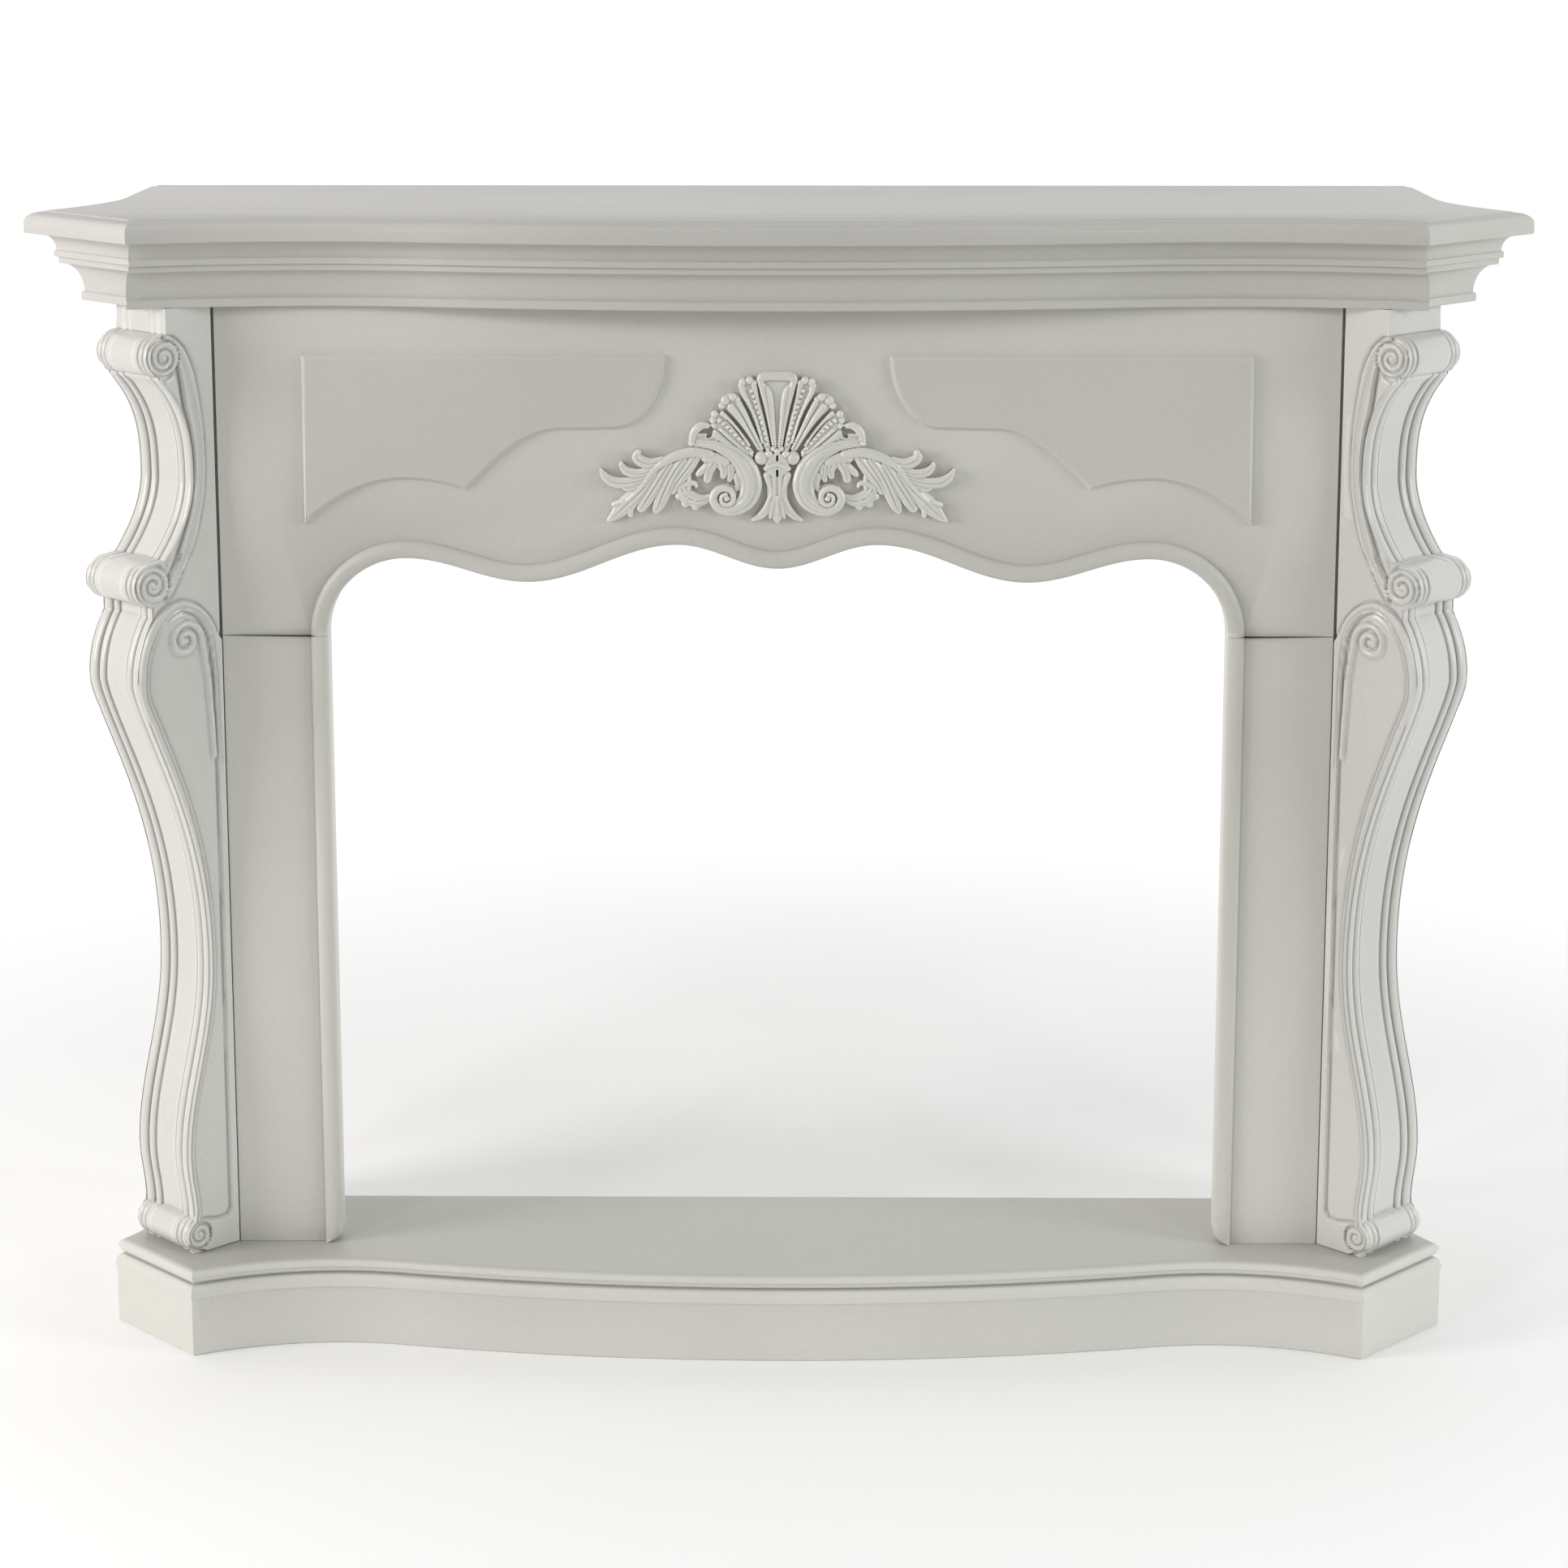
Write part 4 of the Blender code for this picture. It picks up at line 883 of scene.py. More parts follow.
def leaf_relief(r, s, z):
    """Little leaves between the neck's band and the scrolls; the lower one is the upper one turned over."""
    top = LEAF[0][1]
    low = [(x + 20 - 0.18 * (top - q), 1811 - q) for x, q in LEAF]
    for shape in (LEAF, low):
        sd = signed(s, z, smooth(shape + shape[:1]))
        r = raised(r, 1.9 * soft(sd - 0.4, 2.0))
    return r


def side_relief(s, z):
    """Height in mm of the carving on a truss's side, at s mm from its back and z mm over the floor."""
    shares = np.linspace(0.0, 1.0, 900)
    d = np.interp(share(z), shares, [truss_front(v) * 1000 for v in shares]) - s
    neck = soft(z - 822, 8) * soft(992 - z, 8)
    band = smooth(NECK_OUTER) + smooth(NECK_INNER)[::-1]
    r = neck_relief(s, z, d, neck, band)
    r = leaf_relief(scroll_relief(leg_relief(r, s, z), s, z), s, z)
    # the side is a little sunk between the neck's bead and its band
    hollow = neck * soft(d - 3.6, 1.2) * soft(-signed(s, z, band) - 0.2, 1.0) * soft(14.5 - d, 3.0)
    r -= 0.9 * hollow * (r < 0.4)
    # nothing stands out beyond the front's rounded arris
    return np.clip(r, RELIEF_LEAST, RELIEF_MOST) * np.clip(d / 1.2 + 0.25, 0, 1)


# Where a ring of the truss has points, in mm
ACROSS = [0.0, 0.25, 0.8, 1.6, 2.8, 4.2, 5.75, 7.2, 8.6, 9.8, 10.7, 11.3, 11.6, 12.7, 13.9, 14.1, 15.0, 16.2,
          17.5, 18.75, 20.0, 21.3, 22.5, 23.4, 23.6, 24.7, 25.9, 26.3, 30.0, 36.0, 42.5]
FROM_FRONT = np.array([0.0, 0.35, 0.8, 1.3, 1.9, 2.6, 3.3, 4.0, 4.8, 5.6, 6.4, 7.2, 8.0, 8.8, 9.6, 10.5, 11.4,
                       12.3, 13.2, 14.2, 15.2, 16.2, 17.3, 18.4, 19.6, 20.8, 22.0])
FROM_BACK = np.array([0.0, 1.5, 3.2, 5.0, 6.6, 7.6, 8.6, 10.0])
BETWEEN = 28                     # steps from the one to the other


def side_points(z, f):
    """Places s of the points on the side of the ring at z, where the front is at f mm."""
    around = [min(max((z + a) / TRUSS_H, 0.0), 1.0) for a in np.linspace(-0.007, 0.007, 15)]
    even = float(np.mean([truss_front(v) for v in around])) * 1000
    back = FROM_BACK * min(1.0, 0.45 * (even - FROM_FRONT[-1]) / FROM_BACK[-1])
    middle = np.linspace(back[-1], even - FROM_FRONT[-1], BETWEEN)[1:-1]
    side = np.concatenate([back, middle, (even - FROM_FRONT)[::-1]])
    side = np.minimum(side, f - 0.02 * np.arange(len(side))[::-1])
    side[-1] = f
    return side


def front_sink(z, te):
    """Depth of the front's mouldings at z: those of the shaft, of a scroll's drum or of the abacus."""
    drum = 0.0
    for mark, _, radius in SCROLLS:
        dz = z - mark * TRUSS_H
        if mark == MARK["upper"] and dz < 0:
            drum = max(drum, float(blend((radius + 0.012 + dz) / 0.020)))
        else:
            drum = max(drum, float(np.clip((radius - abs(dz)) / 0.003, 0, 1)))
    m = shaft_sink(te) * (1 - drum) + drum_sink(te) * drum
    if z / TRUSS_H < MARK["foot"] + 0.02:
        m = m * (0.5 + 0.5 * min(1.0, z / 0.01))
    if z / TRUSS_H > MARK["abacus"]:
        m = 0.6 * rounded(np.clip(1 - te / 0.8, 0, 1))
    return m


def truss_mesh():
    """Rings of points of the right truss, level by level."""
    levels = truss_levels()
    width = TRUSS_T * 1000
    across = np.array(ACROSS + [width - a for a in reversed(ACROSS[:-1])])
    te = np.minimum(across, width - across)
    fronts = np.array([[truss_front(z / TRUSS_H) * 1000] for z in levels])
    s_all = np.array([side_points(z, f[0]) for z, f in zip(levels, fronts)])
    z_all = np.array([[z * 1000 + Z_JAMB * 1000] for z in levels]) + np.zeros_like(s_all)
    # the abacus is plain
    plain = 1 - np.clip(((z_all / 1000 - Z_JAMB) / TRUSS_H - 0.9725) / 0.0015, 0, 1)
    inner = side_relief(s_all, z_all) * plain
    # on the outer side the relief is drawn in towards the front, clear of the side board
    covered = ((X_SIDE - X_JAMB - TRUSS_GAP) * math.sqrt(2) - TRUSS_T) * 1000
    drawn = s_all - 0.6 * covered * np.clip(1 - s_all / fronts, 0, 1)
    outer = np.where(s_all > covered + 0.8, side_relief(np.maximum(drawn, 0), z_all), 0) * plain
    rings = []
    for z, (f,), side, near, far in zip(levels, fronts, s_all, inner, outer):
        points = list(zip(-near, side))[:-1]
        points += zip(across, f - front_sink(z, te))
        points += list(zip(width + far, side))[-2::-1]
        rings.append([truss_point(t / 1000, s / 1000, z) for t, s in points])
    return rings


def truss_point(t, s, z):
    """Place in the scene of a point t across the truss, s out of the corner and z over the hearth."""
    k = math.sqrt(0.5)
    return (X_JAMB + TRUSS_GAP + k * (s + t), Y_FACE + k * (t - s), Z_JAMB + z)


def make_trusses():
    """Both trusses; the left one is the right one mirrored."""
    rings = truss_mesh()
    for name, side in (("console_right", 1), ("console_left", -1)):
        s = Solid()
        s.loft([[(side * x, y, z) for x, y, z in ring] for ring in rings])
        # a lip on the back closes the joint beside the boards, which reads as a dark line
        lip = [(0.0005, 0.013), (0.0170, 0.013), (0.0230, 0.019), (0.0005, 0.019)]
        ends = (Z_JAMB + 0.0005, Z_FRIEZE_TOP - 0.0005)
        s.loft([[(side * (X_JAMB + x), Y_FACE + y, z) for x, y in lip] for z in ends])
        piece(name + "_carved", s.verts, s.faces, "truss_paint", name, TRUSS_SHARP)


# Carved shell: strokes of the right half as (x, z, half width, height) in mm over its own foot

STROKES = [
    # ground of the volute
    ("round", [(50.5, 24.2, 13.6, 10.4)]),
    # shell: middle rib and its rolled top
    ("flat", [(11.5, 141.5, 4.4, 8.5), (9.5, 126.0, 3.6, 8.5)]),
    ("flat", [(0, 133.0, 14.4, 8.5), (0, 128.0, 13.2, 8.5), (0, 117.6, 10.34, 8.5), (0, 99.5, 6.98, 8),
        (0, 81.3, 4.39, 8), (0, 69.6, 3.1, 8)]),
    ("round", [(0, 145.6, 4.39, 12.5), (10, 145.6, 4.65, 12.5), (15.5, 144.1, 4.39, 12.5)]),
    ("round", [(17, 142.5, 3.36, 12), (13.9, 130.6, 3.1, 12), (10.6, 116.3, 2.58, 11.5),
        (7, 96.9, 2.07, 10.5), (3.3, 72.2, 1.55, 9.5)]),
    ("round", [(12.6, 137.0, 1.4, 10.4), (9.4, 131.0, 3.2, 11.6), (6.6, 117.6, 3.3, 11.8),
        (4.1, 96.9, 2.2, 11), (1.5, 73, 1.16, 10)]),
    # shell: beaded rib beside the middle one
    ("flat", [(28.8, 134.5, 7.75, 8.5), (24.2, 120.2, 6.98, 8.5), (17.8, 101.5, 5.43, 8.2),
        (11.3, 80, 3.62, 8), (8.2, 69.6, 2.33, 8)]),
    ("round", [(35.5, 136.3, 3.1, 11), (33.5, 128.5, 2.58, 11), (27.8, 116.3, 2.2, 10.8),
        (20.6, 98.9, 1.94, 10.2), (14.9, 80, 1.55, 9.5)]),
    ("round", [(22.9, 137.3, 3.1, 11), (19.6, 122.8, 1.81, 10.4), (14.4, 101.5, 1.55, 10),
        (9.3, 81.3, 1.29, 9.5)]),
    # shell: fluted rib
    ("flat", [(45.3, 119.7, 8.79, 8.5), (36.6, 107.8, 6.98, 8.5), (26.8, 91.7, 4.65, 8.2),
        (16, 73, 2.58, 8)]),
    ("round", [(37.6, 118.7, 2.84, 10.6), (31.4, 107.2, 2.33, 10.3), (24.2, 91.7, 1.81, 9.8),
        (15.5, 74, 1.42, 9.2)]),
    ("round", [(45.8, 115.5, 3.36, 10.8), (37.6, 104.1, 2.58, 10.4), (27.8, 88.6, 1.94, 9.8),
        (18.5, 73, 1.42, 9.2)]),
    # shell: lowest rib, beaded
    ("flat", [(59, 101.5, 7.24, 8.3), (50, 91.7, 6.72, 8.3), (39.1, 80.3, 5.17, 8), (26.3, 68.9, 3.1, 8)]),
    ("round", [(54.1, 108.3, 2.58, 10.4), (44.8, 100, 2.07, 10), (35.5, 88.6, 1.81, 9.6),
        (27.8, 76.6, 1.55, 9.2)]),
    # shell: rim over the scroll and its curled end
    ("round", [(61.3, 88.6, 3.88, 9.6), (51.2, 79.7, 3.88, 9.8), (39.1, 70.9, 3.1, 9.6),
        (26.8, 63.7, 2.07, 9.2)]),
    ("round", [(55.1, 91.7, 2.07, 10), (44.8, 81.8, 1.81, 9.8), (34, 72.5, 1.55, 9.4),
        (24.7, 66.3, 1.29, 9)]),
    ("round", [(85, 79.7, 3.1, 9.5), (83.2, 88, 3.88, 10.2), (78.8, 93.8, 4.14, 10.8),
        (73.1, 96.3, 3.36, 10.4), (66.4, 95.1, 2.07, 9.4)]),
    ("flute", [(79.3, 83.9, 3.88, 9.2), (71.8, 83.9, 4.39, 9.2), (63.3, 81.8, 4.14, 9)]),
    # scroll and its volute
    ("scroll", [(81.4, 77.2, 2.58, 9), (68, 77.2, 4.39, 10), (55.1, 74, 5.95, 11),
        (41.7, 66.8, 8.53, 12.2), (30.9, 53.8, 10.86, 13.2), (26, 37.7, 11.12, 13.4),
        (29.9, 22.7, 9.56, 13.2), (40.2, 14.0, 7.5, 12.8), (50.5, 11.2, 5.2, 12.8),
        (59.3, 14.9, 4.6, 12.8)]),
    ("round", [(50.5, 11.2, 5.2, 12.9), (59.3, 14.9, 4.7, 13), (63.6, 23.0, 4.5, 13),
        (60.2, 30.8, 3.9, 13.1), (52.5, 33.6, 3.5, 13.2), (45.7, 30.6, 3.0, 13.2),
        (43.6, 24.4, 2.9, 13.3), (46.0, 18.7, 2.7, 13.4), (51.0, 17.1, 2.5, 13.5),
        (55.2, 20.4, 2.3, 13.6), (54.9, 25.9, 2.1, 13.7), (50.9, 28.0, 1.8, 13.7)]),
    # lobes inside the scroll
    ("veined", [(62.8, 59.3, 5.69, 10.4), (67.5, 51.5, 4.91, 10), (69.5, 42.4, 3.88, 9.2)]),
    ("veined", [(55.1, 59.3, 6.2, 10.6), (52.5, 51.5, 4.65, 10), (53.6, 45.5, 3.1, 9.2)]),
    ("veined", [(46.1, 54.1, 5.17, 10.6), (45.8, 47.6, 3.62, 10), (47.4, 41.9, 2.58, 9)]),
    ("veined", [(39.7, 45, 4.39, 10.6), (38.6, 38.2, 3.36, 10), (40.2, 32, 2.33, 9)]),
    ("round", [(70.6, 64.4, 5.69, 10.6), (61.5, 63.1, 6.2, 10.8), (51.2, 60, 6.2, 11)]),
    ("round", [(70.6, 55.4, 3.62, 9.6), (76.2, 49.7, 3.62, 9.2), (78.8, 47.1, 2.33, 8.6)]),
    # ruffled leaf beside the volute
    ("veined", [(95.5, 33.5, 4.6, 9.2), (91.4, 26.0, 7.6, 9.6), (82.4, 21.2, 7.4, 9.6),
        (74.0, 21.2, 5.2, 9.4), (68.0, 24.0, 3.4, 9.2)]),
    ("round", [(90.0, 24.0, 4.6, 9.4), (91.5, 17.6, 4.0, 8.6)]),
    ("round", [(82.0, 20.0, 4.4, 9.4), (81.5, 14.6, 3.8, 8.4)]),
    ("round", [(93.0, 27.5, 4.2, 9.4), (98.2, 25.0, 3.6, 8.6)]),
    ("round", [(94.8, 34.6, 3.62, 9), (89.1, 37.7, 3.1, 9), (82.4, 38.2, 2.33, 8.6),
        (80.3, 35.1, 1.55, 8.2)]),
    ("round", [(88.6, 47.6, 2.58, 8.8), (87.5, 39.8, 2.33, 8.8), (88.1, 33.3, 2.58, 8.8)]),
    # spray: lower lobes
    ("veined", [(80.3, 65.7, 5.2, 10), (89.9, 52.3, 6.3, 10.2), (100.0, 39.0, 6.4, 9.8),
        (104.0, 31.0, 4.4, 8.8)]),
    ("veined", [(93.7, 61.8, 5.2, 10.2), (104.5, 46.3, 6.8, 10.4), (113, 28.6, 7.2, 10),
        (118.0, 16.4, 5.6, 9), (120.6, 11.0, 3.4, 7.8)]),
    ("veined", [(107.9, 56.7, 5.2, 10.2), (118.5, 39.8, 6.8, 10.4), (129.4, 22.6, 6.4, 9.6),
        (135.4, 13.2, 4.6, 8.2)]),
    ("veined", [(123.1, 47.6, 5.7, 10), (135.4, 30.7, 7.0, 9.8), (150.4, 16.4, 8.8, 9.2),
        (162.0, 5.4, 4.9, 7.6), (168.4, 0.4, 1.6, 6)]),
    ("round", [(153.0, 19.0, 4.2, 8.8), (162.6, 16.4, 2.6, 7.2)]),
    ("round", [(147.0, 12.0, 4.0, 8.6), (146.4, 5.6, 2.4, 7)]),
    # spray: stem and upper lobes
    ("round", [(67, 66.8, 5.17, 11.2), (80.9, 69.4, 5.17, 11.8), (96.3, 66.8, 4.91, 11.8),
        (110.5, 60.6, 4.39, 11.4), (122.1, 52.3, 3.62, 10.8), (131.8, 38.5, 2.84, 10.2),
        (143.7, 24.8, 2.07, 9.4), (155.5, 12.8, 1.55, 8.2), (164.8, 3, 1.03, 6.6)]),
    ("veined", [(114.3, 60.6, 4.4, 10), (125.9, 57.9, 5.2, 10.4), (134.6, 60.0, 5.6, 10.8),
        (139.6, 64.2, 4.4, 11.2), (139.8, 68.2, 2.8, 11.2)]),
    ("veined", [(120.8, 52.8, 4.2, 9.8), (136.2, 47.8, 4.6, 9.8), (148.4, 49.6, 4.4, 9.6),
        (153.8, 54.6, 3.0, 9), (155, 58.4, 1.7, 8.4)]),
    ("veined", [(125.1, 45.5, 4.4, 9.6), (142.7, 39.3, 5.0, 9.6), (160.2, 38.6, 5.4, 9.2),
        (170.3, 43.8, 4.0, 8.4), (175.6, 51.7, 1.4, 7)]),
    ("round", [(136.2, 35.1, 3.1, 9), (147.3, 32, 2.58, 8.4), (153, 33.1, 1.55, 7.6)]),
    # drop under the shell
    ("veined", [(0, 52.3, 10.8, 11), (0, 39.8, 10.6, 11.2), (0, 27.3, 10.2, 11), (0, 14.6, 9.6, 10),
        (0, 5.0, 5.0, 8.6), (0.3, -0.7, 1.5, 6.8)]),
    ("veined", [(4.1, 27.3, 4.14, 10.6), (9.8, 13.3, 4.39, 9.4), (17, 5, 3.36, 8), (25, 0.9, 1.29, 6.2)]),
    ("round", [(2.1, 24.2, 2.58, 10.8), (5.7, 10.7, 2.58, 9.6), (7.2, 3.5, 1.29, 7.6)]),
    ("round", [(0, 24.2, 2.33, 11.6), (0, 11.3, 2.07, 10.4), (0, 0.9, 1.03, 7.4)]),
    # knot of the shell
    ("round", [(10.3, 46.5, 3.62, 11.2), (7.7, 38.5, 3.1, 11), (5.7, 32, 2.07, 10.8)]),
    ("flat", [(0, 60.6, 8.79, 11.4), (0, 56.4, 11.89, 11.4)]),
    ("round", [(11.3, 53.3, 2.33, 12), (5.7, 56.4, 2.07, 12.4), (0, 58, 2.07, 12.6)]),
]
# round ends of the ribs, eyes and berries
KNOBS = [(34, 139.9, 3.88, 11.5), (27.3, 141.5, 3.88, 11.8), (22.9, 138.9, 3.1, 11.5),
         (51.2, 121.3, 4.91, 11), (44, 124.6, 4.14, 11.2), (54.8, 116.1, 3.36, 10.6),
         (39.1, 122.3, 2.84, 10.8), (62.1, 107.8, 3.62, 10.4), (63.6, 101.5, 3.36, 10.2),
         (62.8, 95.8, 3.1, 9.8), (85.5, 78.2, 2.84, 10.4), (50.2, 23.4, 3.1, 14.2),
         (138.5, 68.9, 3.36, 11.4), (15.5, 63.7, 6.98, 12.8), (8.2, 67.8, 3.88, 12.4),
         (0, 70.9, 3.36, 12.6), (4.1, 73, 2.58, 11.6)]


def bead_row(count, first, last, crowd=1.0, bow=0.0):
    """Beads from first to last; crowd bunches them in x, bow lifts the middle of the row by so many mm."""
    row = []
    for u in np.linspace(0, 1, count):
        x = first[0] + (last[0] - first[0]) * u ** crowd
        _, z, w, h = (p + (q - p) * u for p, q in zip(first, last))
        row.append((round(x, 1), round(z + 4 * bow * u * (1 - u), 1), round(w, 2), round(h, 4)))
    return row


KNOBS += bead_row(12, (25.4925, 131.109, 2.2231, 11.3), (8.4975, 72.484, 1.4476, 10.0), crowd=0.85)
KNOBS += bead_row(9, (57.165, 101.537, 2.3265, 10.9), (25.75, 68.853, 1.4993, 9.7), bow=2.075)
STROKES += [("round", [knob]) for knob in KNOBS]
# openings cut through the carving: (x, z, half width)
CUTS = [
    [(36.8, 126.4, 0.67), (30.4, 116.8, 0.88), (23.2, 101.5, 0.88), (16.7, 80.3, 0.62)],
    [(53.3, 111.4, 0.72), (43.8, 101.5, 0.88), (34.2, 89.3, 0.83), (26.5, 77.7, 0.57)],
    [(65.7, 93.5, 2.07), (67, 87, 2.33), (69, 84.9, 1.29)],
    [(0, 66, 0.83), (0, 61.6, 0.78)],
    [(0, 51.7, 1.09), (0, 46, 0.93)],
]


# the grid of the carving's right half in mm: its width, its height and where its lowest row lies
GRID_W = 186
GRID_H = 166
GRID_FOOT = -6
OUTSIDE = -9.0                   # reach of a point that no stroke comes near


def stroke_top(kind, q, side, half, peak):
    """Height of a stroke of some kind at the share q of its half width; side is q with the side's sign."""
    depth = np.minimum(0.85 * half, 0.7 * peak)
    fall = rounded(q)
    if kind == "round":
        top = peak - depth * fall
    elif kind == "flat":
        top = peak - 1.3 * np.clip((q - 0.72) / 0.28, 0, 1) ** 2
    elif kind == "flute":
        top = peak - 0.45 * half * (1 - np.clip(q, 0, 1) ** 2)
    elif kind == "scroll":
        lines = groove(side, 0.45, 0.13) + groove(side, -0.50, 0.13, 0.8)
        top = peak - 0.66 * depth * fall - np.minimum(0.09 * half, 0.8) * lines
    else:
        veins = groove(side, 0, 0.15, 0.75) + groove(np.abs(side), 0.55, 0.13, 0.40)
        top = peak - 0.72 * depth * fall - np.minimum(0.26 * half, 1.6) * veins * np.clip(1.25 - q, 0, 1)
    return np.where(q < 1, top, 0)


def stroke_field(px, pz):
    """Distance inside the carving's outline and its height, in mm, at points of its right half."""
    height = np.zeros_like(px)
    reach = np.full_like(px, OUTSIDE)
    for kind, knots in STROKES:
        if len(knots) == 1:
            path = np.array(knots, float)
            tangent = np.array([[0.0, 1.0]])
        else:
            path = curve(knots, 9)
            tangent = np.gradient(path[:, :2], axis=0)
            tangent /= np.maximum(np.linalg.norm(tangent, axis=1, keepdims=True), 1e-9)
        lo = (path[:, :2] - path[:, 2:3]).min(axis=0) - 2
        hi = (path[:, :2] + path[:, 2:3]).max(axis=0) + 2
        pick = (px > lo[0]) & (px < hi[0]) & (pz > lo[1]) & (pz < hi[1])
        x, z = px[pick], pz[pick]
        best = np.full(x.shape, OUTSIDE)
        q = np.full(x.shape, 2.0)
        side, half, peak = np.zeros((3, *x.shape))
        for (cx, cz, w, h), (tx, tz) in zip(path, tangent):
            dx, dz = x - cx, z - cz
            dist = np.hypot(dx, dz)
            best = np.maximum(best, w - dist)
            closer = dist / w < q
            q = np.where(closer, dist / w, q)
            side = np.where(closer, (dx * tz - dz * tx) / w, side)
            half = np.where(closer, w, half)
            peak = np.where(closer, h, peak)
        height[pick] = np.maximum(height[pick], stroke_top(kind, q, side, half, peak))
        reach[pick] = np.maximum(reach[pick], best)
    for knots in CUTS:
        for cx, cz, w in curve(knots, 8):
            reach = np.minimum(reach, np.hypot(px - cx, pz - cz) - w)
    return reach, height


def carving_grid(step):
    """Reach and height on a grid over the whole carving."""
    nx, nz = int(GRID_W / step) + 1, int(GRID_H / step) + 1
    xs = step * np.arange(nx)[:, None] + np.zeros((1, nz))
    zs = GRID_FOOT + step * np.arange(nz)[None, :] + np.zeros((nx, 1))
    reach, height = stroke_field(xs, zs)
    # strokes run softly into each other where they meet
    around = height[2:, 1:-1] + height[:-2, 1:-1] + height[1:-1, 2:] + height[1:-1, :-2]
    softened = height.copy()
    softened[1:-1, 1:-1] = 0.60 * height[1:-1, 1:-1] + 0.10 * around
    height = np.where(reach > step, softened, height)
    return [np.concatenate([a[:0:-1], a]) for a in (reach, height)]


def make_shell():
    """Faces of the grid inside the carving's outline; the cells that the outline crosses are cut."""
    step = SHELL_GRID * 1000
    reach, height = carving_grid(step)
    x0 = -(reach.shape[0] // 2) * step
    verts, faces, index = [], [], {}
    bottom = (Z_FRIEZE_TOP - SHELL_DROP - SHELL_H) * 1000
    back = (Y_FACE - SEAT) * 1000

    def vert(key, i, j, h):
        if key not in index:
            index[key] = len(verts)
            x, z = x0 + i * step, GRID_FOOT + j * step
            verts.append((x / 1000, (back - h) / 1000, (bottom + z) / 1000))
        return index[key]

    def corner(k):
        return vert(k, *k, height[k])

    def crossing(a, b):
        """Points on the face, on the edge and on the board where the outline cuts the line from a to b."""
        a, b = min(a, b), max(a, b)
        ra, rb = reach[a], reach[b]
        u = min(max(ra / (ra - rb), 0.04), 0.96)
        i, j = a[0] + (b[0] - a[0]) * u, a[1] + (b[1] - a[1]) * u
        top = vert((a, b), i, j, max(0.72 * max(height[a], height[b]), SHELL_SKIN * 1000))
        return top, vert((a, b, 0), i, j, 0.0)

    for i in range(reach.shape[0] - 1):
        column = reach[i:i + 2].max(axis=0)
        for j in map(int, np.nonzero((column[:-1] > 0) | (column[1:] > 0))[0]):
            quad = [(i, j), (i + 1, j), (i + 1, j + 1), (i, j + 1)]
            if all(reach[k] > 0 for k in quad):
                faces.append([corner(k) for k in quad])
                continue
            halves = ((0, 1, 2), (0, 2, 3)) if (i + j) % 2 else ((0, 1, 3), (1, 2, 3))
            for cell in halves:
                row, cut = [], []
                for a, b in zip(cell, cell[1:] + cell[:1]):
                    a, b = quad[a], quad[b]
                    if reach[a] > 0:
                        row.append(corner(a))
                    if (reach[a] > 0) != (reach[b] > 0):
                        top, foot = crossing(a, b)
                        row.append(top)
                        cut.append((top, foot, reach[a] > 0))
                if len(row) > 2:
                    faces.append(row)
                if len(cut) == 2:
                    (ta, ba, leave), (tb, bb, _) = cut
                    faces.append([ta, ba, bb, tb] if leave else [tb, bb, ba, ta])
    return piece("applique_carved", verts, faces, "carving_paint", "applique", CARVING_SHARP)


def paint_sides():
    """The side boards are shown as the solids that they are."""
    for name in ("side_return_left", "side_return_right"):
        for s in bpy.data.objects[name].material_slots:
            s.material = MATS["board_paint"]


make_shelf()
make_cornice()
make_hearth()
make_frieze()
make_jamb("jamb_left", -1)
make_jamb("jamb_right", 1)
make_trusses()
make_shell()
paint_sides()


# Room: a plain pale floor, a white surround and soft lights

FLOOR_HALF = 4
FADE = (0.60, 2.1)               # distances from the middle between which the floor thins out
# greyness of the surround on the viewer's side and behind the object, and how far its change reaches
WORLD_FRONT = 0.24
WORLD_BACK = 1.04
WORLD_TURN = 0.55
# area lights: name, place, target, size, power and colour
LIGHTS = (
    ("left_box", (-3.2, -1.3, 1.5), (0, -0.1, 0.65), (1.2, 1.6), 60, (1.0, 0.95, 0.925)),
    ("right_box", (3.2, -1.3, 1.5), (0, -0.1, 0.65), (1.2, 1.6), 38, (0.95, 1.0, 0.985)),
    ("left_key", (-2.1, -2.7, 2.3), (0, -0.1, 0.70), (0.50, 0.60), 17, (1.0, 1.0, 1.0)),
    ("right_key", (2.0, -2.9, 2.0), (0, -0.1, 0.70), (0.50, 0.60), 14, (1.0, 1.0, 1.0)),
)
CAMERA_PLACE = (0.0350, -3.6255, 1.467)
CAMERA_DOWN = 0.1868             # radians below the level
CAMERA_TURN = 0.0085
CAMERA_LENS = 81.77              # mm, on a sensor 36 mm wide
CAMERA_SHIFT = (0.0009, -0.14)


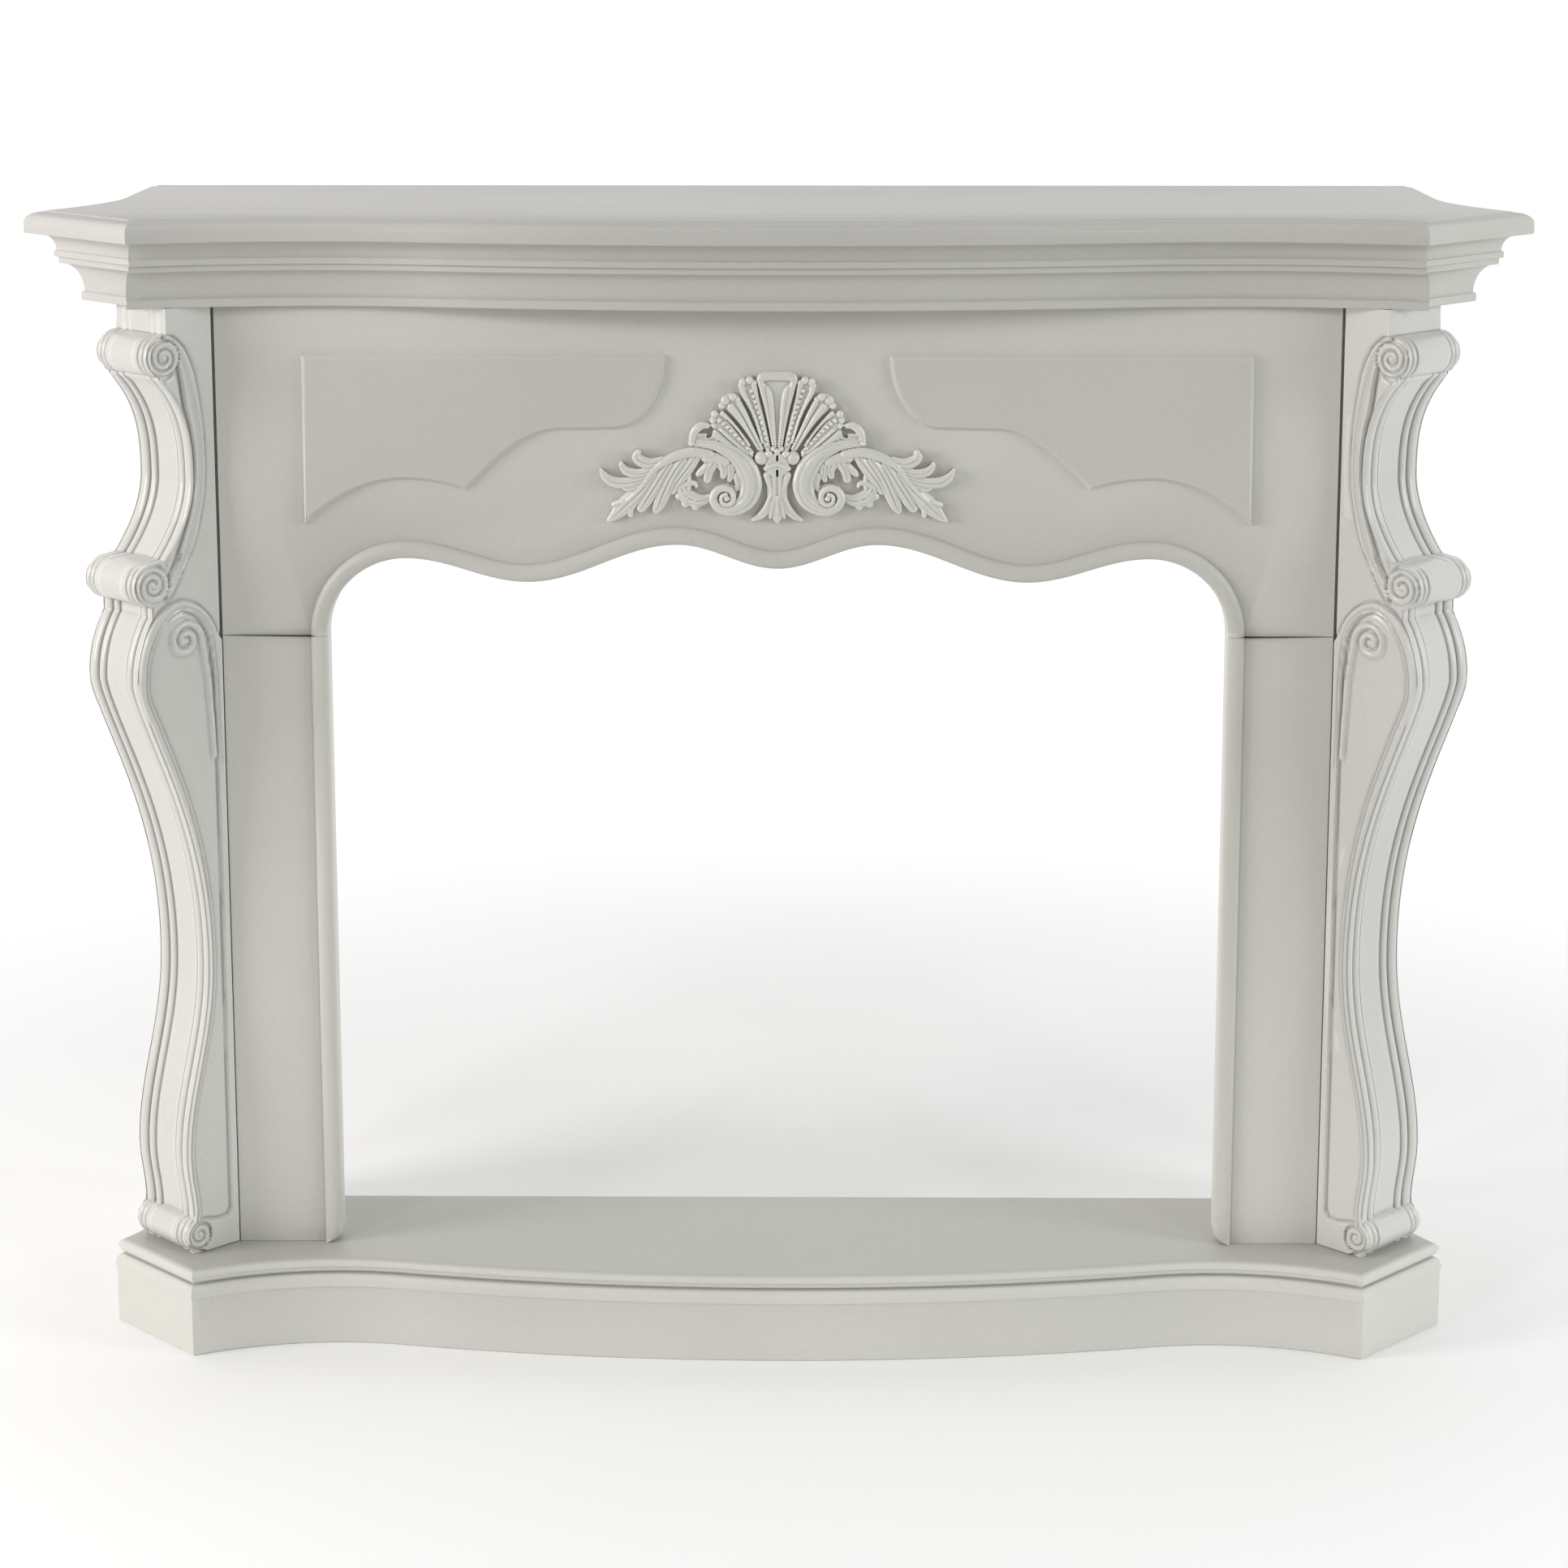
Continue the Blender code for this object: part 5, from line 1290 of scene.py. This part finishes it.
def make_floor():
    """Plain pale floor that thins out into the white surround."""
    h = FLOOR_HALF
    mesh = bpy.data.meshes.new("floor")
    mesh.from_pydata([(-h, -h, 0), (h, -h, 0), (h, h, 0), (-h, h, 0)], [], [(0, 1, 2, 3)])
    mat = bpy.data.materials.new("pale_floor")
    n = Nodes(mat)
    n.link(n.ramp(n.noise(1.5, 2.0), (0.93,) * 3, (0.96,) * 3), n.bsdf.inputs["Base Color"])
    n.bsdf.inputs["Roughness"].default_value = 0.9
    reach = n.add("ShaderNodeVectorMath", operation="LENGTH")
    n.link(n.place, reach.inputs[0])
    fade = n.span(reach.outputs["Value"], FADE, (1.0, 0.0), interpolation_type="SMOOTHSTEP")
    n.link(fade, n.bsdf.inputs["Alpha"])
    mesh.materials.append(mat)
    new_object("floor", mesh)


def make_lights():
    """Two large boxes beside the object and two smaller lights before it."""
    for name, place, target, size, power, colour in LIGHTS:
        light = bpy.data.lights.new(name, "AREA")
        light.shape = "RECTANGLE"
        light.color = colour
        light.size, light.size_y = size
        light.energy = power
        obj = new_object(name, light)
        obj.location = place
        obj.rotation_euler = (Vector(target) - Vector(place)).to_track_quat("-Z", "Y").to_euler()


def make_camera():
    """Camera for the photograph's view."""
    cam = bpy.data.cameras.new("camera")
    cam.sensor_width = 36.0
    cam.lens = CAMERA_LENS
    cam.shift_x, cam.shift_y = CAMERA_SHIFT
    cam.clip_end = 100
    obj = new_object("camera", cam)
    obj.location = CAMERA_PLACE
    obj.rotation_euler = (math.pi / 2 - CAMERA_DOWN, 0, CAMERA_TURN)
    bpy.context.scene.camera = obj


def make_world():
    """White behind the object, greyer on the viewer's side, as in a studio with a white backdrop."""
    world = bpy.data.worlds.new("surround")
    n = Nodes(world)
    split = n.add("ShaderNodeSeparateXYZ")
    n.link(n.coord["Generated"], split.inputs["Vector"])
    strength = n.span(split.outputs["Y"], (-WORLD_TURN, WORLD_TURN), (WORLD_FRONT, WORLD_BACK),
                      interpolation_type="SMOOTHSTEP")
    back = n.tree.nodes["Background"]
    n.link(strength, back.inputs["Strength"])
    back.inputs["Color"].default_value = (1.0, 1.0, 1.0, 1.0)
    bpy.context.scene.world = world


make_floor()
make_lights()
make_world()
make_camera()
bpy.context.scene.view_settings.view_transform = "Standard"
bpy.context.scene.view_settings.look = "None"
